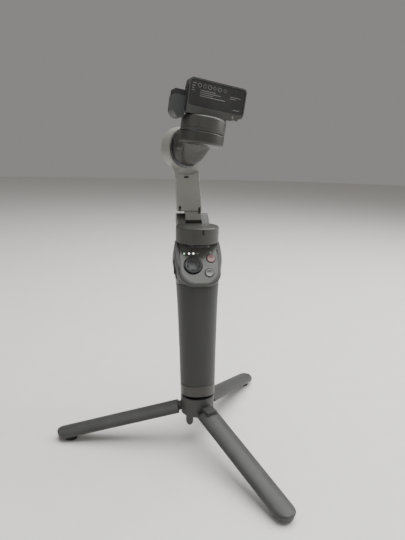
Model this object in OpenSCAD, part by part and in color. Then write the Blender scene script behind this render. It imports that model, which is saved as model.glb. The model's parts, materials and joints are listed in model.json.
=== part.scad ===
// Folding three-axis phone gimbal with a gripped handle on a three-leg stand.
// Frame: table at z = 0, stand axis on Z, control panel facing -Y.

/* [Stand] */
// Radius from the stand axis to a leg tip
stance_r = 131; // [128:1:133]
// Height of the stand's top face
hub_top = 47; // [47:0.1:47.4]
// Radius of the stand's hub, legs folded
hub_r = 15.7; // [15.6:0.1:15.8]
// Azimuth of the first leg, degrees
first_leg_az = 53.1; // [45:1:60]
// Half width of a leg at its root
leg_half_w = 10.8; // [10:0.1:11]

/* [Handle] */
// Lean of the grip away from the user, degrees
lean = 9; // [8.8:0.1:9.2]
// Distance of the pan axis behind the stand axis
pan_y = 22; // [21.8:0.1:22.2]
// Width of the grip at its middle
grip_w = 34.4; // [34:0.2:35]
// Width of the handle at its widest, beside the panel
shoulder_w = 45; // [44:0.5:46]
// Elevation of the panel's normal, degrees
panel_elev = 38; // [37:0.5:39]

/* [Arms] */
// Radius of a motor housing
motor_r = 19.6; // [19.4:0.1:19.7]
// Lean of the long arm away from the user, degrees
arm_lean = 8; // [7:0.5:9]
// Turn of the roll axis from straight ahead, degrees
roll_yaw = 23; // [20:1:25]
// Lean of the tilt axis to the right, degrees
tilt_lean = 8.5; // [7:0.5:9]
// Turn of the phone clamp about the tilt axis at rest, degrees
clamp_turn = -13; // [-15:1:-10]

/* [Clamp] */
// Width of the clamp's housing
clamp_w = 52; // [50:1:52]
// Height of the clamp's housing
clamp_h = 28.5; // [27:0.5:28.5]

/* [Hidden] */
$fn = 64;
blend_fn = 32;
fit = 0.05;
gap = 0.3;
legs = 3;
motor_poles = 12;

hinge_r = 10.5;
hinge_z = hub_top - 13;
leg_slope = 14.2;
leg_len = (stance_r - hinge_r) / cos(leg_slope);
leg_pin_r = 1.5;
leg_arc_r = 16;
petal_r = 13.9;
knuckle_w = 9;

pan_floor = 180.5;
handle_top = 184.5;
collar_top = 187;
pan_bottom = 187.5;
pan_top = 202;

panel_front = -5.5;
panel_z = 154.8;
panel_half_w = 17.5;
panel_len = 33;
joy_pos = [-5.9, 17.6];
joy_r = 7.85;
shutter_pos = [10.9, 24.3];
mode_pos = [8.2, 10.2];
button_r = 3.8;
led_v = 29.6;
trigger_y = 19.6;
trigger_z = 125.2;
led_x = [-13, -8.6, -4.7, -0.8];

cell_r = 9.15;
cell_len = 42.5;

fold_y = 44;
fold_z = 204.8;
fold_pin_r = 1.6;
ear_r = 5.4;
knuckle_u = [-9, 5.8];
ears_u = [-16.6, 13.2];
arm_rear_len = 65;

roll_at = [-10, 50, 269.5];
roll_r = 19;
boss_r = 16;
tilt_fwd = 28.3;
tilt_up = 14;
clamp_x0 = -21;
clamp_z0 = 12;
clamp_front = -11.6;
clamp_back = -1.6;
fixed_jaw_x = 24.5;
jaw_reach = 10.5;
pad_t = 1.2;
pad_seat = 0.5;
carriage_len = 48;

// ---- places ----

module in_grip() {
    translate([0, 0, hub_top]) rotate([-lean, 0, 0]) children();
}

module in_panel() {
    translate([0, panel_front, panel_z]) rotate([90 - panel_elev, 0, 0]) children();
}

module at_leg(i) {
    rotate([0, 0, first_leg_az + i * 360 / legs])
        translate([hinge_r, 0, hinge_z]) rotate([0, leg_slope, 0]) children();
}

module in_pan() {
    translate([0, pan_y, 0]) children();
}

module in_arm() {
    translate([0, fold_y, fold_z]) rotate([-arm_lean, 0, 0]) children();
}

// Roll frame: -Y points out along the roll axis, Z is up.
module in_roll() {
    translate(roll_at) rotate([0, 0, roll_yaw]) children();
}

// Tilt frame: Z runs along the tilt axis, -Y is the clamp's outer face.
module in_tilt() {
    in_roll() translate([tilt_up * tan(tilt_lean), -tilt_fwd, tilt_up])
        rotate([0, tilt_lean, 0]) rotate([0, 0, clamp_turn]) children();
}

// ---- shared shapes ----

module tube(r_out, r_in, h) {
    difference() {
        cylinder(r = r_out, h = h);
        translate([0, 0, -1]) cylinder(r = r_in, h = h + 2);
    }
}

// Cylinder along X from x0 to x1.
module rod_x(r, x0, x1) {
    translate([x0, 0, 0]) rotate([0, 90, 0]) cylinder(r = r, h = x1 - x0);
}

// Cylinder along -Y from y0 out to y1, with y1 below y0.
module rod_out(r, y0, y1) {
    translate([0, y0, 0]) rotate([90, 0, 0]) cylinder(r = r, h = y0 - y1);
}

// Block with corners rounded about Z.
module round_block(x0, x1, y0, y1, z0, z1, r) {
    translate([0, 0, z0]) linear_extrude(z1 - z0) {
        translate([x0 + r, y0]) square([x1 - x0 - 2 * r, y1 - y0]);
        translate([x0, y0 + r]) square([x1 - x0, y1 - y0 - 2 * r]);
        for (x = [x0 + r, x1 - r])
            for (y = [y0 + r, y1 - r])
                translate([x, y]) circle(r = r);
    }
}

// One section of the handle at height z, ready for hull().
module section(z, w, front, back, r) {
    for (x = [-w / 2 + r, w / 2 - r])
        for (y = [front + r, back - r])
            translate([x, y, z]) cylinder(r = r, h = 0.02, $fn = blend_fn);
}

// Toothed ring that carries a motor's coils.
module stator_ring(r_in, r_out, h) {
    tube(r_in + 1.6, r_in, h);
    for (i = [0 : motor_poles - 1])
        rotate([0, 0, i * 360 / motor_poles]) {
            translate([r_in + 1, -1.2, 1]) cube([r_out - r_in - 2, 2.4, h - 2]);
            intersection() {
                tube(r_out, r_out - 1.4, h);
                translate([r_out - 4, -2.6, 0]) cube([6, 5.2, h]);
            }
        }
}

// ---- stand ----

// Turns what follows to the azimuth of leg i; 0.5 more is midway to the next leg.
module to_leg(i) {
    rotate([0, 0, first_leg_az + i * 360 / legs]) children();
}

// Round-ended skirt between two legs, cut from the hub's own wall.
module petal(i, top) {
    low = 21;
    half_w = 3.7;
    intersection() {
        translate([0, 0, low - 1]) tube(hub_r, petal_r, top - low + 1);
        to_leg(i + 0.5) rotate([90, 0, 90]) linear_extrude(30) {
            translate([0, low + half_w]) circle(r = half_w);
            translate([-half_w, low + half_w]) square([2 * half_w, top + 2 - low - half_w]);
        }
    }
}

module tripod_hub() {
    body_z = hinge_z - 0.5;
    skirt_z = hinge_z - 4.6;
    slot_w = knuckle_w + 0.6;
    ear_w = 3.4;
    color("dimgray") {
        for (i = [0 : legs - 1]) petal(i, body_z + 0.01);
        difference() {
            union() {
                translate([0, 0, body_z]) cylinder(r = hub_r, h = hub_top - body_z);
                translate([0, 0, skirt_z]) tube(hub_r, petal_r, body_z + 0.1 - skirt_z);
                for (i = [0 : legs - 1])
                    for (s = [-1, 1])
                        to_leg(i) translate([
                            hinge_r, s * (knuckle_w / 2 + 0.3 + ear_w / 2) - ear_w / 2, hinge_z
                        ]) rotate([-90, 0, 0]) cylinder(r = 4.1, h = ear_w);
            }
            for (i = [0 : legs - 1])
                to_leg(i) {
                    translate([hinge_r - 4.4, -slot_w / 2, body_z - 6]) cube([20, slot_w, 11.7]);
                    translate([hinge_r, -8.4, hinge_z]) rotate([-90, 0, 0])
                        cylinder(r = leg_pin_r, h = 16.8);
                }
            translate([0, 0, body_z - 1]) cylinder(r = 5.6, h = 8.5);
            translate([0, 0, body_z]) cylinder(r = 3.3, h = 20);
        }
    }
}

module tripod_screw() {
    color("silver") {
        translate([0, 0, 36.6]) cylinder(r = 5.4, h = 4.4);
        translate([0, 0, 40.9]) cylinder(r = 3.15, h = 15.6);
    }
}

module leg_pins() {
    color("silver")
        for (i = [0 : legs - 1])
            to_leg(i) translate([hinge_r, -8.4, hinge_z]) rotate([-90, 0, 0])
                cylinder(r = leg_pin_r, h = 16.8);
}

// Plan of a leg, tapering to a round tip; edge is how far the outline is drawn in.
module leg_plan(edge) {
    tip_w = leg_half_w - 1.3;
    x_tip = leg_len - tip_w;
    polygon([
        [7 + edge, -leg_half_w + edge], [x_tip, -tip_w + edge],
        [x_tip, tip_w - edge], [7 + edge, leg_half_w - edge]
    ]);
    translate([x_tip, 0]) circle(r = tip_w - edge);
}

module leg(i) {
    wall = 1.7;
    side_wall = 2.7;
    below = 1.5;
    low_half_w = 9.3;
    solid_tip = 18;
    color("dimgray") at_leg(i) difference() {
        union() {
            difference() {
                intersection() {
                    translate([0, 0, -below]) linear_extrude(10) leg_plan(0);
                    translate([0, 0, -hinge_r]) rod_x(leg_arc_r, 0, leg_len + 1);
                    rotate([90, 0, 90]) linear_extrude(leg_len + 1) polygon([
                        [-low_half_w, -below], [low_half_w, -below], [leg_half_w + 0.1, 1.4],
                        [leg_half_w + 0.1, 9], [-leg_half_w - 0.1, 9], [-leg_half_w - 0.1, 1.4]
                    ]);
                }
                intersection() {
                    translate([0, 0, -below - 1]) linear_extrude(10) leg_plan(side_wall);
                    translate([0, 0, -hinge_r]) rod_x(leg_arc_r - wall, 0, leg_len + 1);
                    translate([0, -20, -10]) cube([leg_len - solid_tip, 40, 30]);
                }
            }
            rotate([-90, 0, 0]) translate([0, 0, -knuckle_w / 2]) cylinder(r = 4, h = knuckle_w);
            translate([0, -knuckle_w / 2, -1.5]) cube([12, knuckle_w, 4.8]);
            for (s = [-1, 1])
                translate([10, s * 4.5 - 0.7, -1]) cube([leg_len - 30, 1.4, 4]);
        }
        translate([0, -10, 0]) rotate([-90, 0, 0]) cylinder(r = leg_pin_r + fit, h = 20);
    }
}

module foot(i) {
    color("black") difference() {
        at_leg(i) translate([leg_len - 10, 0, -8.5]) cylinder(r = 5.6, h = 7);
        translate([-200, -200, -20]) cube([400, 400, 20]);
    }
}

// ---- handle ----

module base_cap() {
    color("gray") difference() {
        in_grip() hull() {
            section(-3.5, 31.4, -16.2, 16.2, 14);
            section(10.4, 32, -16.6, 16.6, 14);
        }
        translate([-30, -30, 30]) cube([60, 60, hub_top + 0.05 - 30]);
        in_grip() translate([-30, -40, -10]) cube([60, 36, 11]);
        in_grip() round_block(-13, 13, -13.6, 13.6, 5.5, 12, 9);
        translate([0, 0, 40]) cylinder(r = 5.4, h = 30);
        in_grip() for (s = [-1, 1]) translate([s * 11, 11.4, -4]) cylinder(r = 1.1, h = 15);
    }
}

module thread_insert() {
    color("goldenrod") translate([0, 0, hub_top + 0.1]) tube(5.35, 3.2, 8.4);
}

module handle_frame() {
    color("darkslategray") in_grip() {
        difference() {
            round_block(-12.9, 12.9, -13.5, 13.5, 10.6, 100, 9);
            round_block(-11.6, 11.6, -12.2, 12.2, 12, 99, 8);
            round_block(-10, 10, -10, 10, 9, 101, 8);
        }
    }
}

module grip_sleeve() {
    color("#3a3b3a") in_grip() difference() {
        union() {
            hull() {
                section(10.6, 32, -16.6, 16.6, 14);
                section(55, grip_w, -18, 18, 15);
            }
            hull() {
                section(55, grip_w, -18, 18, 15);
                section(104, 38.6, -19.6, 20, 16);
            }
        }
        round_block(-13, 13, -13.6, 13.6, 0, 120, 9);
    }
}

module upper_outer() {
    in_grip() {
        hull() {
            section(104.2, 39, -20.4, 20.2, 16);
            section(123, shoulder_w, -21.5, 22, 19);
        }
        hull() {
            section(123, shoulder_w, -21.5, 22, 19);
            section(144, 39.4, -19.5, 20.5, 19);
        }
    }
}

module upper_cuts() {
    translate([-40, -40, handle_top]) cube([80, 120, 40]);
    in_panel() translate([-40, -20, 0]) cube([80, 90, 60]);
    in_grip() round_block(-15.5, 15.5, -16.4, 16.4, 90, 118, 12);
    in_grip() round_block(-18.4, 18.4, -16.6, 18.2, 117.9, 134.5, 14);
    in_pan() translate([0, 0, pan_floor]) cylinder(r = 16.6, h = 20);
}

module panel_pocket(depth, w) {
    in_panel() translate([0, 0, -depth]) linear_extrude(depth + 30) panel_plan(w);
}

// Outline of the control panel: straight sides and a round lower end.
module panel_plan(half_w) {
    r = 14;
    low = panel_half_w - half_w;
    translate([-half_w, r + low]) square([2 * half_w, panel_len - r - low]);
    translate([-half_w + r, low]) square([2 * (half_w - r), panel_len - low]);
    for (s = [-1, 1]) translate([s * (half_w - r), r + low]) circle(r = r);
}

module upper_front_shell() {
    color("gray") difference() {
        upper_outer();
        upper_cuts();
        panel_pocket(20, panel_half_w - 1.4);
        panel_pocket(2.2, panel_half_w - 0.6);
        in_grip() translate([-40, 0, 90]) cube([80, 60, 70]);
        in_grip() translate([-24, -7.4, 108.6]) cube([9, 4.8, 17.2]);
    }
}

module upper_rear_shell() {
    color("gray") difference() {
        upper_outer();
        upper_cuts();
        in_grip() translate([-40, -60, 90]) cube([80, 60.02, 70]);
        in_grip() translate([-7.4, 12, 102]) cube([14.8, 20, 27]);
        in_grip() translate([0, trigger_y, trigger_z]) rod_x(1, -8.4, 8.4);
        in_grip() translate([10, 6, 112]) rotate([0, 90, 0]) linear_extrude(20)
            for (s = [-1, 1]) translate([0, s * 3]) circle(r = 1.7);
        in_grip() translate([10, 3, 110.3]) cube([20, 6, 3.4]);
    }
}

module control_panel() {
    color("gray") difference() {
        in_panel() translate([0, 0, -2.1]) linear_extrude(2.1) panel_plan(panel_half_w - 0.7);
        translate([-40, -40, handle_top]) cube([80, 120, 40]);
        in_pan() translate([0, 0, pan_floor]) cylinder(r = 16.6, h = 20);
        in_panel() {
            translate([joy_pos.x, joy_pos.y, -5]) cylinder(r = joy_r + 0.6, h = 10);
            translate([shutter_pos.x, shutter_pos.y, -5]) cylinder(r = button_r + 0.45, h = 10);
            translate([mode_pos.x, mode_pos.y, -5]) cylinder(r = button_r + 0.45, h = 10);
            for (x = led_x) translate([x, led_v, -5]) cylinder(r = 0.9, h = 10);
            translate([shutter_pos.x, led_v + 0.8, -5]) cylinder(r = 0.9, h = 10);
        }
    }
}

module status_lights() {
    color("white") in_panel() {
        for (x = led_x) translate([x, led_v, -2.1]) cylinder(r = 0.85, h = 2.1);
        translate([shutter_pos.x, led_v + 0.8, -2.1]) cylinder(r = 0.85, h = 2.1);
    }
}

module button_board() {
    color("darkgreen") in_panel() translate([0, 0, -8.4]) linear_extrude(1) intersection() {
        panel_plan(panel_half_w - 2);
        translate([-14, 5]) square([30, 21.5]);
    }
}

module tact_switches() {
    color("black") in_panel()
        for (p = [shutter_pos, mode_pos])
            translate([p.x - 2, p.y - 2, -7.4]) cube([4, 4, 1.4]);
}

module joystick_base() {
    color("black") in_panel() translate([joy_pos.x, joy_pos.y, -7.4]) difference() {
        translate([-6, -6, 0]) cube([12, 12, 4.4]);
        translate([0, 0, 0.8]) cylinder(r = 5.5, h = 5);
        for (a = [0, 180]) rotate([0, 0, a]) translate([0, 0, 3]) rod_x(0.5, 4, 7);
    }
}

// The ring turns about X in the base and carries the cap's cross pivots.
module joystick_ring() {
    color("silver") in_panel() translate([joy_pos.x, joy_pos.y, -4.4]) {
        difference() {
            translate([0, 0, -0.8]) tube(4.6, 3.4, 1.6);
            rotate([0, 0, 90]) rod_x(0.5, -6, 6);
        }
        for (a = [0, 180]) rotate([0, 0, a]) rod_x(0.45, 4.4, 5.8);
    }
}

module joystick_cap() {
    color("#26272a") in_panel() translate([joy_pos.x, joy_pos.y, -4.4]) {
        translate([0, 0, -1.4]) cylinder(r = 1.6, h = 5);
        rotate([0, 0, 90]) rod_x(0.45, -4.2, 4.2);
        difference() {
            translate([0, 0, 3.4]) cylinder(r = 6.7, h = 1.2);
            translate([0, 0, 20]) sphere(r = 15.4);
        }
        difference() {
            translate([0, 0, 3.4]) cylinder(r = joy_r - 0.5, h = 3);
            translate([0, 0, 19.6]) sphere(r = 15);
            translate([0, 0, 3.3]) tube(joy_r + 2, 6.7, 1.3);
        }
    }
}

module push_button(p, top) {
    in_panel() translate([p.x, p.y, 0]) {
        translate([0, 0, -3]) cylinder(r = button_r, h = 3 + top);
        translate([0, 0, -5.1]) cylinder(r = 1.4, h = 2.2);
    }
}

module shutter_button() {
    color("#7d6560") push_button(shutter_pos, 0.7);
}

module mode_button() {
    color("#6d6e6b") push_button(mode_pos, 0.7);
}

module zoom_slider() {
    color("#2c2d2e") in_grip() {
        translate([-22.4, -7.1, 112.9]) cube([4.9, 4.2, 8.6]);
        translate([-17.6, -7.1, 114.2]) cube([2.4, 4.2, 6]);
    }
}

module trigger() {
    color("#2c2d2e") in_grip() difference() {
        union() {
            translate([0, trigger_y, trigger_z]) rod_x(2.6, -6.9, 6.9);
            translate([-6.9, 19, 105.6]) cube([13.8, 4.6, 19.6]);
            translate([-3, 16, 106.5]) cube([6, 3.2, 6]);
            translate([0, 23.4, 106.6]) rod_x(1.6, -6.9, 6.9);
        }
        translate([0, trigger_y, trigger_z]) rod_x(1 + fit, -8, 8);
    }
}

module trigger_pin() {
    color("silver") in_grip() translate([0, trigger_y, trigger_z]) rod_x(1, -8.4, 8.4);
}

module battery_cells() {
    color("steelblue") in_grip()
        for (i = [0, 1])
            translate([0, -2, 12.4 + i * (cell_len + 0.6)]) cylinder(r = cell_r, h = cell_len);
}

module battery_strap() {
    color("black") in_grip()
        for (z = [28, 78]) translate([0, -2, z]) tube(cell_r + 0.9, cell_r, 6);
}

module main_board() {
    color("darkgreen") in_grip() {
        round_block(-7.5, 7.5, 8.6, 10, 13, 98, 0.6);
        for (z = [24, 44, 66, 86]) translate([-4, 9.95, z]) cube([8, 1.4, 7]);
    }
}

module usb_port() {
    color("silver") in_grip() translate([14.6, 6, 112]) rotate([0, 90, 0]) linear_extrude(5)
        difference() {
            union() {
                for (s = [-1, 1]) translate([0, s * 2.9]) circle(r = 1.6);
                translate([-1.6, -2.9]) square([3.2, 5.8]);
            }
            for (s = [-1, 1]) translate([0, s * 2.9]) circle(r = 1.25);
            translate([-1.25, -2.9]) square([2.5, 5.8]);
        }
}

module handle_screws() {
    color("silver") in_grip()
        for (s = [-1, 1]) translate([s * 11, 11.4, 1.8]) {
            cylinder(r = 1.05, h = 8.7);
        }
}

module pan_mount() {
    color("dimgray") in_pan() translate([0, 0, pan_floor]) difference() {
        cylinder(r = 16.4, h = 3);
        translate([0, 0, -1]) cylinder(r = 2.5, h = 5);
        for (a = [45 : 90 : 315]) rotate([0, 0, a]) translate([12.5, 0, -1]) cylinder(r = 1, h = 5);
    }
}

module pan_collar() {
    color("black") in_pan() translate([0, 0, pan_floor + 3]) tube(16.2, 8.5, collar_top - pan_floor - 3);
}

module pan_shaft() {
    color("silver") in_pan() {
        translate([0, 0, pan_floor]) cylinder(r = 2.5, h = 18.5);
    }
}

module pan_stator() {
    color("peru") in_pan() translate([0, 0, pan_floor + 3.05]) {
        tube(8.4, 7.2, 14);
        translate([0, 0, 5.2]) difference() {
            stator_ring(7.2, 14.2, 8.4);
            translate([0, 0, -1]) cylinder(r = 8.4, h = 12);
        }
    }
}

// ---- pan stage ----

module pan_bearings() {
    color("lightgray") in_pan()
        for (z = [188.2, 194.4]) translate([0, 0, z]) tube(5, 2.5 + fit, 3);
}

module pan_rotor() {
    color("slategray") in_pan() {
        translate([0, 0, 188]) tube(6.6, 5, 11.4);
        translate([0, 0, 199.3]) cylinder(r = 17, h = 0.7);
        translate([0, 0, 189]) tube(17, 14.9, 10.4);
    }
}

module fold_ear(u0, u1) {
    translate([0, fold_y, fold_z]) rod_x(ear_r, u0, u1);
    translate([u0, fold_y - 12, pan_top - 9]) cube([u1 - u0, 13.5, fold_z - pan_top + 9]);
}

module pan_housing() {
    color("#5e5f5c") difference() {
        union() {
            in_pan() translate([0, 0, pan_bottom]) cylinder(r = motor_r, h = pan_top - pan_bottom);
            fold_ear(ears_u[0], knuckle_u[0] - gap);
            fold_ear(knuckle_u[1] + gap, ears_u[1]);
            translate([ears_u[0], pan_y, 190]) cube([ears_u[1] - ears_u[0], 21.5, 8.5]);
        }
        in_pan() translate([0, 0, pan_bottom - 1]) cylinder(r = 17.4, h = 201 - pan_bottom);
        translate([0, fold_y, fold_z]) rod_x(fold_pin_r, ears_u[0] + 1, ears_u[1] - 1);
        translate([0, fold_y, fold_z]) rod_x(fold_pin_r, knuckle_u[0] - 1, knuckle_u[1] + 1);
        translate([0, fold_y, fold_z]) rod_x(5.6, knuckle_u[0] - gap, knuckle_u[1] + gap);
    }
}

module fold_pin() {
    color("silver") translate([0, fold_y, fold_z])
        rod_x(fold_pin_r, ears_u[0] + 1, ears_u[1] - 1);
}

// ---- long arm ----

// Front outline of the long arm, in the arm's own plane; edge draws it in.
module arm_plan(edge) {
    polygon([
        [-16.4 + edge, 7 + edge], [6.4 - edge, 7 + edge], [5.2 - edge, 26],
        [4 - edge, 44], [4.5 - edge, arm_rear_len], [-24 + edge, arm_rear_len],
        [-22.6 + edge, 52], [-18.2 + edge, 40], [-17.2 + edge, 24]
    ]);
}

module arm_slab(y0, y1, edge) {
    translate([0, y1, 0]) rotate([90, 0, 0]) linear_extrude(y1 - y0) arm_plan(edge);
}

module long_arm() {
    color("#73736a") difference() {
        union() {
            in_arm() {
                arm_slab(-9, 0, 0);
                rod_x(4.3, knuckle_u[0], knuckle_u[1]);
                translate([knuckle_u[0], -8, -1]) cube([knuckle_u[1] - knuckle_u[0], 8, 9]);
            }
            in_roll() rod_out(roll_r, 9, -6);
        }
        in_arm() {
            rod_x(fold_pin_r + fit, knuckle_u[0] - 2, knuckle_u[1] + 2);
            intersection() {
                arm_slab(-1.6, 1, 1.6);
                translate([-30, -5, 9]) cube([60, 10, 37.6]);
            }
            intersection() {
                arm_slab(-7.4, -1.5, 3);
                translate([-30, -10, 10.6]) cube([60, 12, 34.4]);
            }
            translate([-9, -3.6, 40]) cube([6, 1.8, 14]);
        }
        in_roll() {
            rod_out(17.4, 6, -8);
            rod_out(17.6, 20, 7.6);
            rod_out(5, 8, 5);
            rod_out(24, -6, -40);
        }
        translate([0, fold_y, fold_z]) {
            rod_x(ear_r + 0.8, ears_u[0] - 3, knuckle_u[0] - 0.02);
            rod_x(ear_r + 0.8, knuckle_u[1] + 0.02, ears_u[1] + 3);
        }
    }
}

module arm_cover() {
    color("#73736a") in_arm() intersection() {
        arm_slab(-1.5, -0.1, 1.8);
        translate([-30, -5, 9.2]) cube([60, 10, 37.2]);
    }
}

module arm_flex() {
    color("orange") in_arm() translate([-9, -3.4, 12]) cube([5.8, 0.5, 34]);
}

module roll_stator() {
    color("peru") in_roll() translate([0, 5.9, 0]) rotate([90, 0, 0]) {
        tube(8.4, 6.2, 10);
        translate([0, 0, 1]) difference() {
            stator_ring(7.2, 14.2, 8.4);
            translate([0, 0, -1]) cylinder(r = 8.4, h = 12);
        }
    }
}

module roll_bearings() {
    color("lightgray") in_roll()
        for (y = [5.8, -0.8]) translate([0, y, 0]) rotate([90, 0, 0]) tube(6.2, 2.5 + fit, 3);
}

module roll_cap() {
    color("#73736a") in_roll() {
        rod_out(17.5, 9.6, 7.6);
        rod_out(4.9, 7.7, 6.2);
    }
}

// ---- roll stage ----

module roll_rotor() {
    color("slategray") in_roll() {
        translate([0, 4.8, 0]) rotate([90, 0, 0]) tube(17, 14.9, 11.3);
        rod_out(17, -6.4, -7.2);
        rod_out(2.5, 5, -7);
    }
}

module roll_cup_cuts() {
    in_tilt() {
        translate([0, 0, -9.4]) cylinder(r = 17.6, h = 30);
        translate([0, 0, -1.3]) cylinder(r = 60, h = 40);
    }
}

module roll_arm() {
    color("#5e5f5c") difference() {
        union() {
            in_roll() {
                rod_out(boss_r, -7.2, -19);
                translate([0, -9, 0]) rotate([90, 0, 0]) linear_extrude(11.5) polygon([
                    [-boss_r, 0], [-boss_r, 12], [-12, 16], [14, 13], [19, 4], [boss_r, 0]
                ]);
            }
            in_tilt() translate([0, 0, -11.4]) cylinder(r = motor_r, h = 10);
        }
        roll_cup_cuts();
    }
}

module tilt_stator() {
    color("peru") in_tilt() translate([0, 0, -9.3]) {
        tube(8.4, 6.2, 15);
        translate([0, 0, 5]) difference() {
            stator_ring(7.2, 14.2, 8.4);
            translate([0, 0, -1]) cylinder(r = 8.4, h = 12);
        }
    }
}

module tilt_bearings() {
    color("lightgray") in_tilt()
        for (z = [-8.6, 2]) translate([0, 0, z]) tube(6.2, 2.5 + fit, 3);
}

// ---- tilt stage and clamp ----

module tilt_rotor() {
    color("slategray") in_tilt() {
        translate([0, 0, -4]) tube(17, 14.9, 11.3);
        translate([0, 0, 7]) cylinder(r = 17, h = 0.8);
        translate([0, 0, -8.8]) cylinder(r = 2.5, h = 16);
    }
}

module tilt_cap() {
    color("#4c4d4b") in_tilt() difference() {
        translate([0, 0, -0.9]) cylinder(r = motor_r, h = clamp_z0 + 0.85);
        translate([0, 0, -2]) cylinder(r = 17.3, h = 9.9);
    }
}

module clamp_housing() {
    x1 = clamp_x0 + clamp_w;
    z1 = clamp_z0 + clamp_h;
    color("#555654") in_tilt() difference() {
        union() {
            translate([0, clamp_back, 0]) rotate([90, 0, 0])
                round_block(clamp_x0, x1, clamp_z0, z1, 0, clamp_back - clamp_front, 3);
            translate([fixed_jaw_x, clamp_back - 1, clamp_z0 + 2])
                cube([x1 - fixed_jaw_x - 0.5, jaw_reach + 1, clamp_h - 4]);
        }
        translate([0, clamp_front + 0.7, 0]) rotate([90, 0, 0])
            round_block(clamp_x0 + 1.6, x1 - 1.6, clamp_z0 + 7.4, z1 - 1.6, 0, 3, 2.4);
        translate([clamp_x0 - 2, clamp_front + 2.6, clamp_z0 + 5]) cube([clamp_w, 5.6, 18]);
        translate([fixed_jaw_x - pad_t, clamp_back - pad_seat, clamp_z0 + 3])
            cube([pad_t, 2, clamp_h - 6]);
    }
}

module clamp_back_plate() {
    x1 = clamp_x0 + clamp_w;
    z1 = clamp_z0 + clamp_h;
    color("#2e2f2e") in_tilt() translate([0, clamp_front + 0.65, 0]) rotate([90, 0, 0])
        round_block(clamp_x0 + 1.8, x1 - 1.8, clamp_z0 + 7.6, z1 - 1.8, 0, 0.4, 2.2);
}

module clamp_rods() {
    color("silver") in_tilt()
        for (z = [clamp_z0 + 8.4, clamp_z0 + 19.6])
            translate([0, clamp_front + 5.4, z]) rod_x(1.2, clamp_x0 + 3, clamp_x0 + clamp_w - 2);
}

module clamp_spring() {
    turns = 7;
    pitch = 2.6;
    color("gray") in_tilt() translate([0, clamp_front + 5.4, clamp_z0 + 14])
        for (i = [0 : turns - 1])
            translate([8 + i * pitch, 0, 0]) rotate([0, 90, 0])
                rotate_extrude() translate([1.7, 0]) circle(r = 0.4, $fn = 16);
}

module fixed_jaw_pad() {
    color("black") in_tilt()
        translate([fixed_jaw_x - pad_t, clamp_back - pad_seat, clamp_z0 + 3])
            cube([pad_t, jaw_reach, clamp_h - 6]);
}

module sliding_jaw() {
    rod_bores = [clamp_z0 + 8.4, clamp_z0 + 19.6];
    color("#5e5f63") in_tilt() difference() {
        union() {
            translate([clamp_x0 - 10.5, clamp_front + 2.8, clamp_z0 - 4.6])
                cube([10.1, 16, 22.5]);
            translate([clamp_x0 - 1, clamp_front + 2.9, clamp_z0 + 5.3]) cube([carriage_len, 5, 17.4]);
        }
        translate([clamp_x0 + 8, clamp_front + 2, clamp_z0 + 11.2]) cube([carriage_len, 8, 5.6]);
        for (z = rod_bores) translate([0, clamp_front + 5.4, z])
            rod_x(1.2 + fit, clamp_x0 - 8, clamp_x0 + 60);
    }
}

module jaw_pad() {
    color("black") in_tilt() translate([clamp_x0 - 10.5, clamp_front + 2.8, clamp_z0 + 18])
        cube([9.4, 14, 4]);
}

tripod_hub();
tripod_screw();
leg_pins();
leg(0);  // leg_1
leg(1);  // leg_2
leg(2);  // leg_3
foot(0);  // foot_1
foot(1);  // foot_2
foot(2);  // foot_3
base_cap();
thread_insert();
handle_frame();
grip_sleeve();
upper_front_shell();
upper_rear_shell();
control_panel();
pan_mount();
pan_collar();
battery_cells();
battery_strap();
main_board();
button_board();
tact_switches();
status_lights();
usb_port();
handle_screws();
joystick_base();
joystick_ring();
joystick_cap();
shutter_button();
mode_button();
zoom_slider();
trigger();
trigger_pin();
pan_shaft();
pan_stator();
pan_bearings();
pan_rotor();
pan_housing();
fold_pin();
long_arm();
arm_cover();
arm_flex();
roll_stator();
roll_bearings();
roll_cap();
roll_rotor();
roll_arm();
tilt_stator();
tilt_bearings();
tilt_rotor();
tilt_cap();
clamp_housing();
clamp_back_plate();
clamp_rods();
clamp_spring();
fixed_jaw_pad();
sliding_jaw();
jaw_pad();
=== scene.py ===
"""Looks of a folding phone gimbal on a three-leg stand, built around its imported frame."""

import json
import logging
import math
from dataclasses import dataclass, field
from enum import Enum
from functools import cache

import bmesh
import bpy
from mathutils import Matrix, Vector


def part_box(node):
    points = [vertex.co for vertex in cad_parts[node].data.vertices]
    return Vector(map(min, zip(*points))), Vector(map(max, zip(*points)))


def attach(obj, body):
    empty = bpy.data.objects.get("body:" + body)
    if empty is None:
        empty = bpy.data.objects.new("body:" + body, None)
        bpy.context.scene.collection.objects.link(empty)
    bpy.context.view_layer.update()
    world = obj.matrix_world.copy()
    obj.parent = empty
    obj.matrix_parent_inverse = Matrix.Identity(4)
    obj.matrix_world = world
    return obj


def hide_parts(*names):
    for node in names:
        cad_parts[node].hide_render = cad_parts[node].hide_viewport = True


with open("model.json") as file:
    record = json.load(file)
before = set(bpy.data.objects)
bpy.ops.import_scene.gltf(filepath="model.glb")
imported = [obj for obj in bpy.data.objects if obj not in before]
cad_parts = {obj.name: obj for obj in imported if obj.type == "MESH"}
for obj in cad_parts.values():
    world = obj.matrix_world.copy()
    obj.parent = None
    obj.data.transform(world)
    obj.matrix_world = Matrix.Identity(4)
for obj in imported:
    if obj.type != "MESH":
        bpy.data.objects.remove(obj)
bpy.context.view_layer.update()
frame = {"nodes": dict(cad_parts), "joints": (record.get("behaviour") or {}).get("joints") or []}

# A millimetre in metres, and the usual number of points round a curve.
MM = 0.001
ROUND = 96
LOG = logging.getLogger("gimbal")

Point2 = tuple[float, float]
Colour = tuple[float, float, float]


# ---------------------------------------------------------------- places


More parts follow.
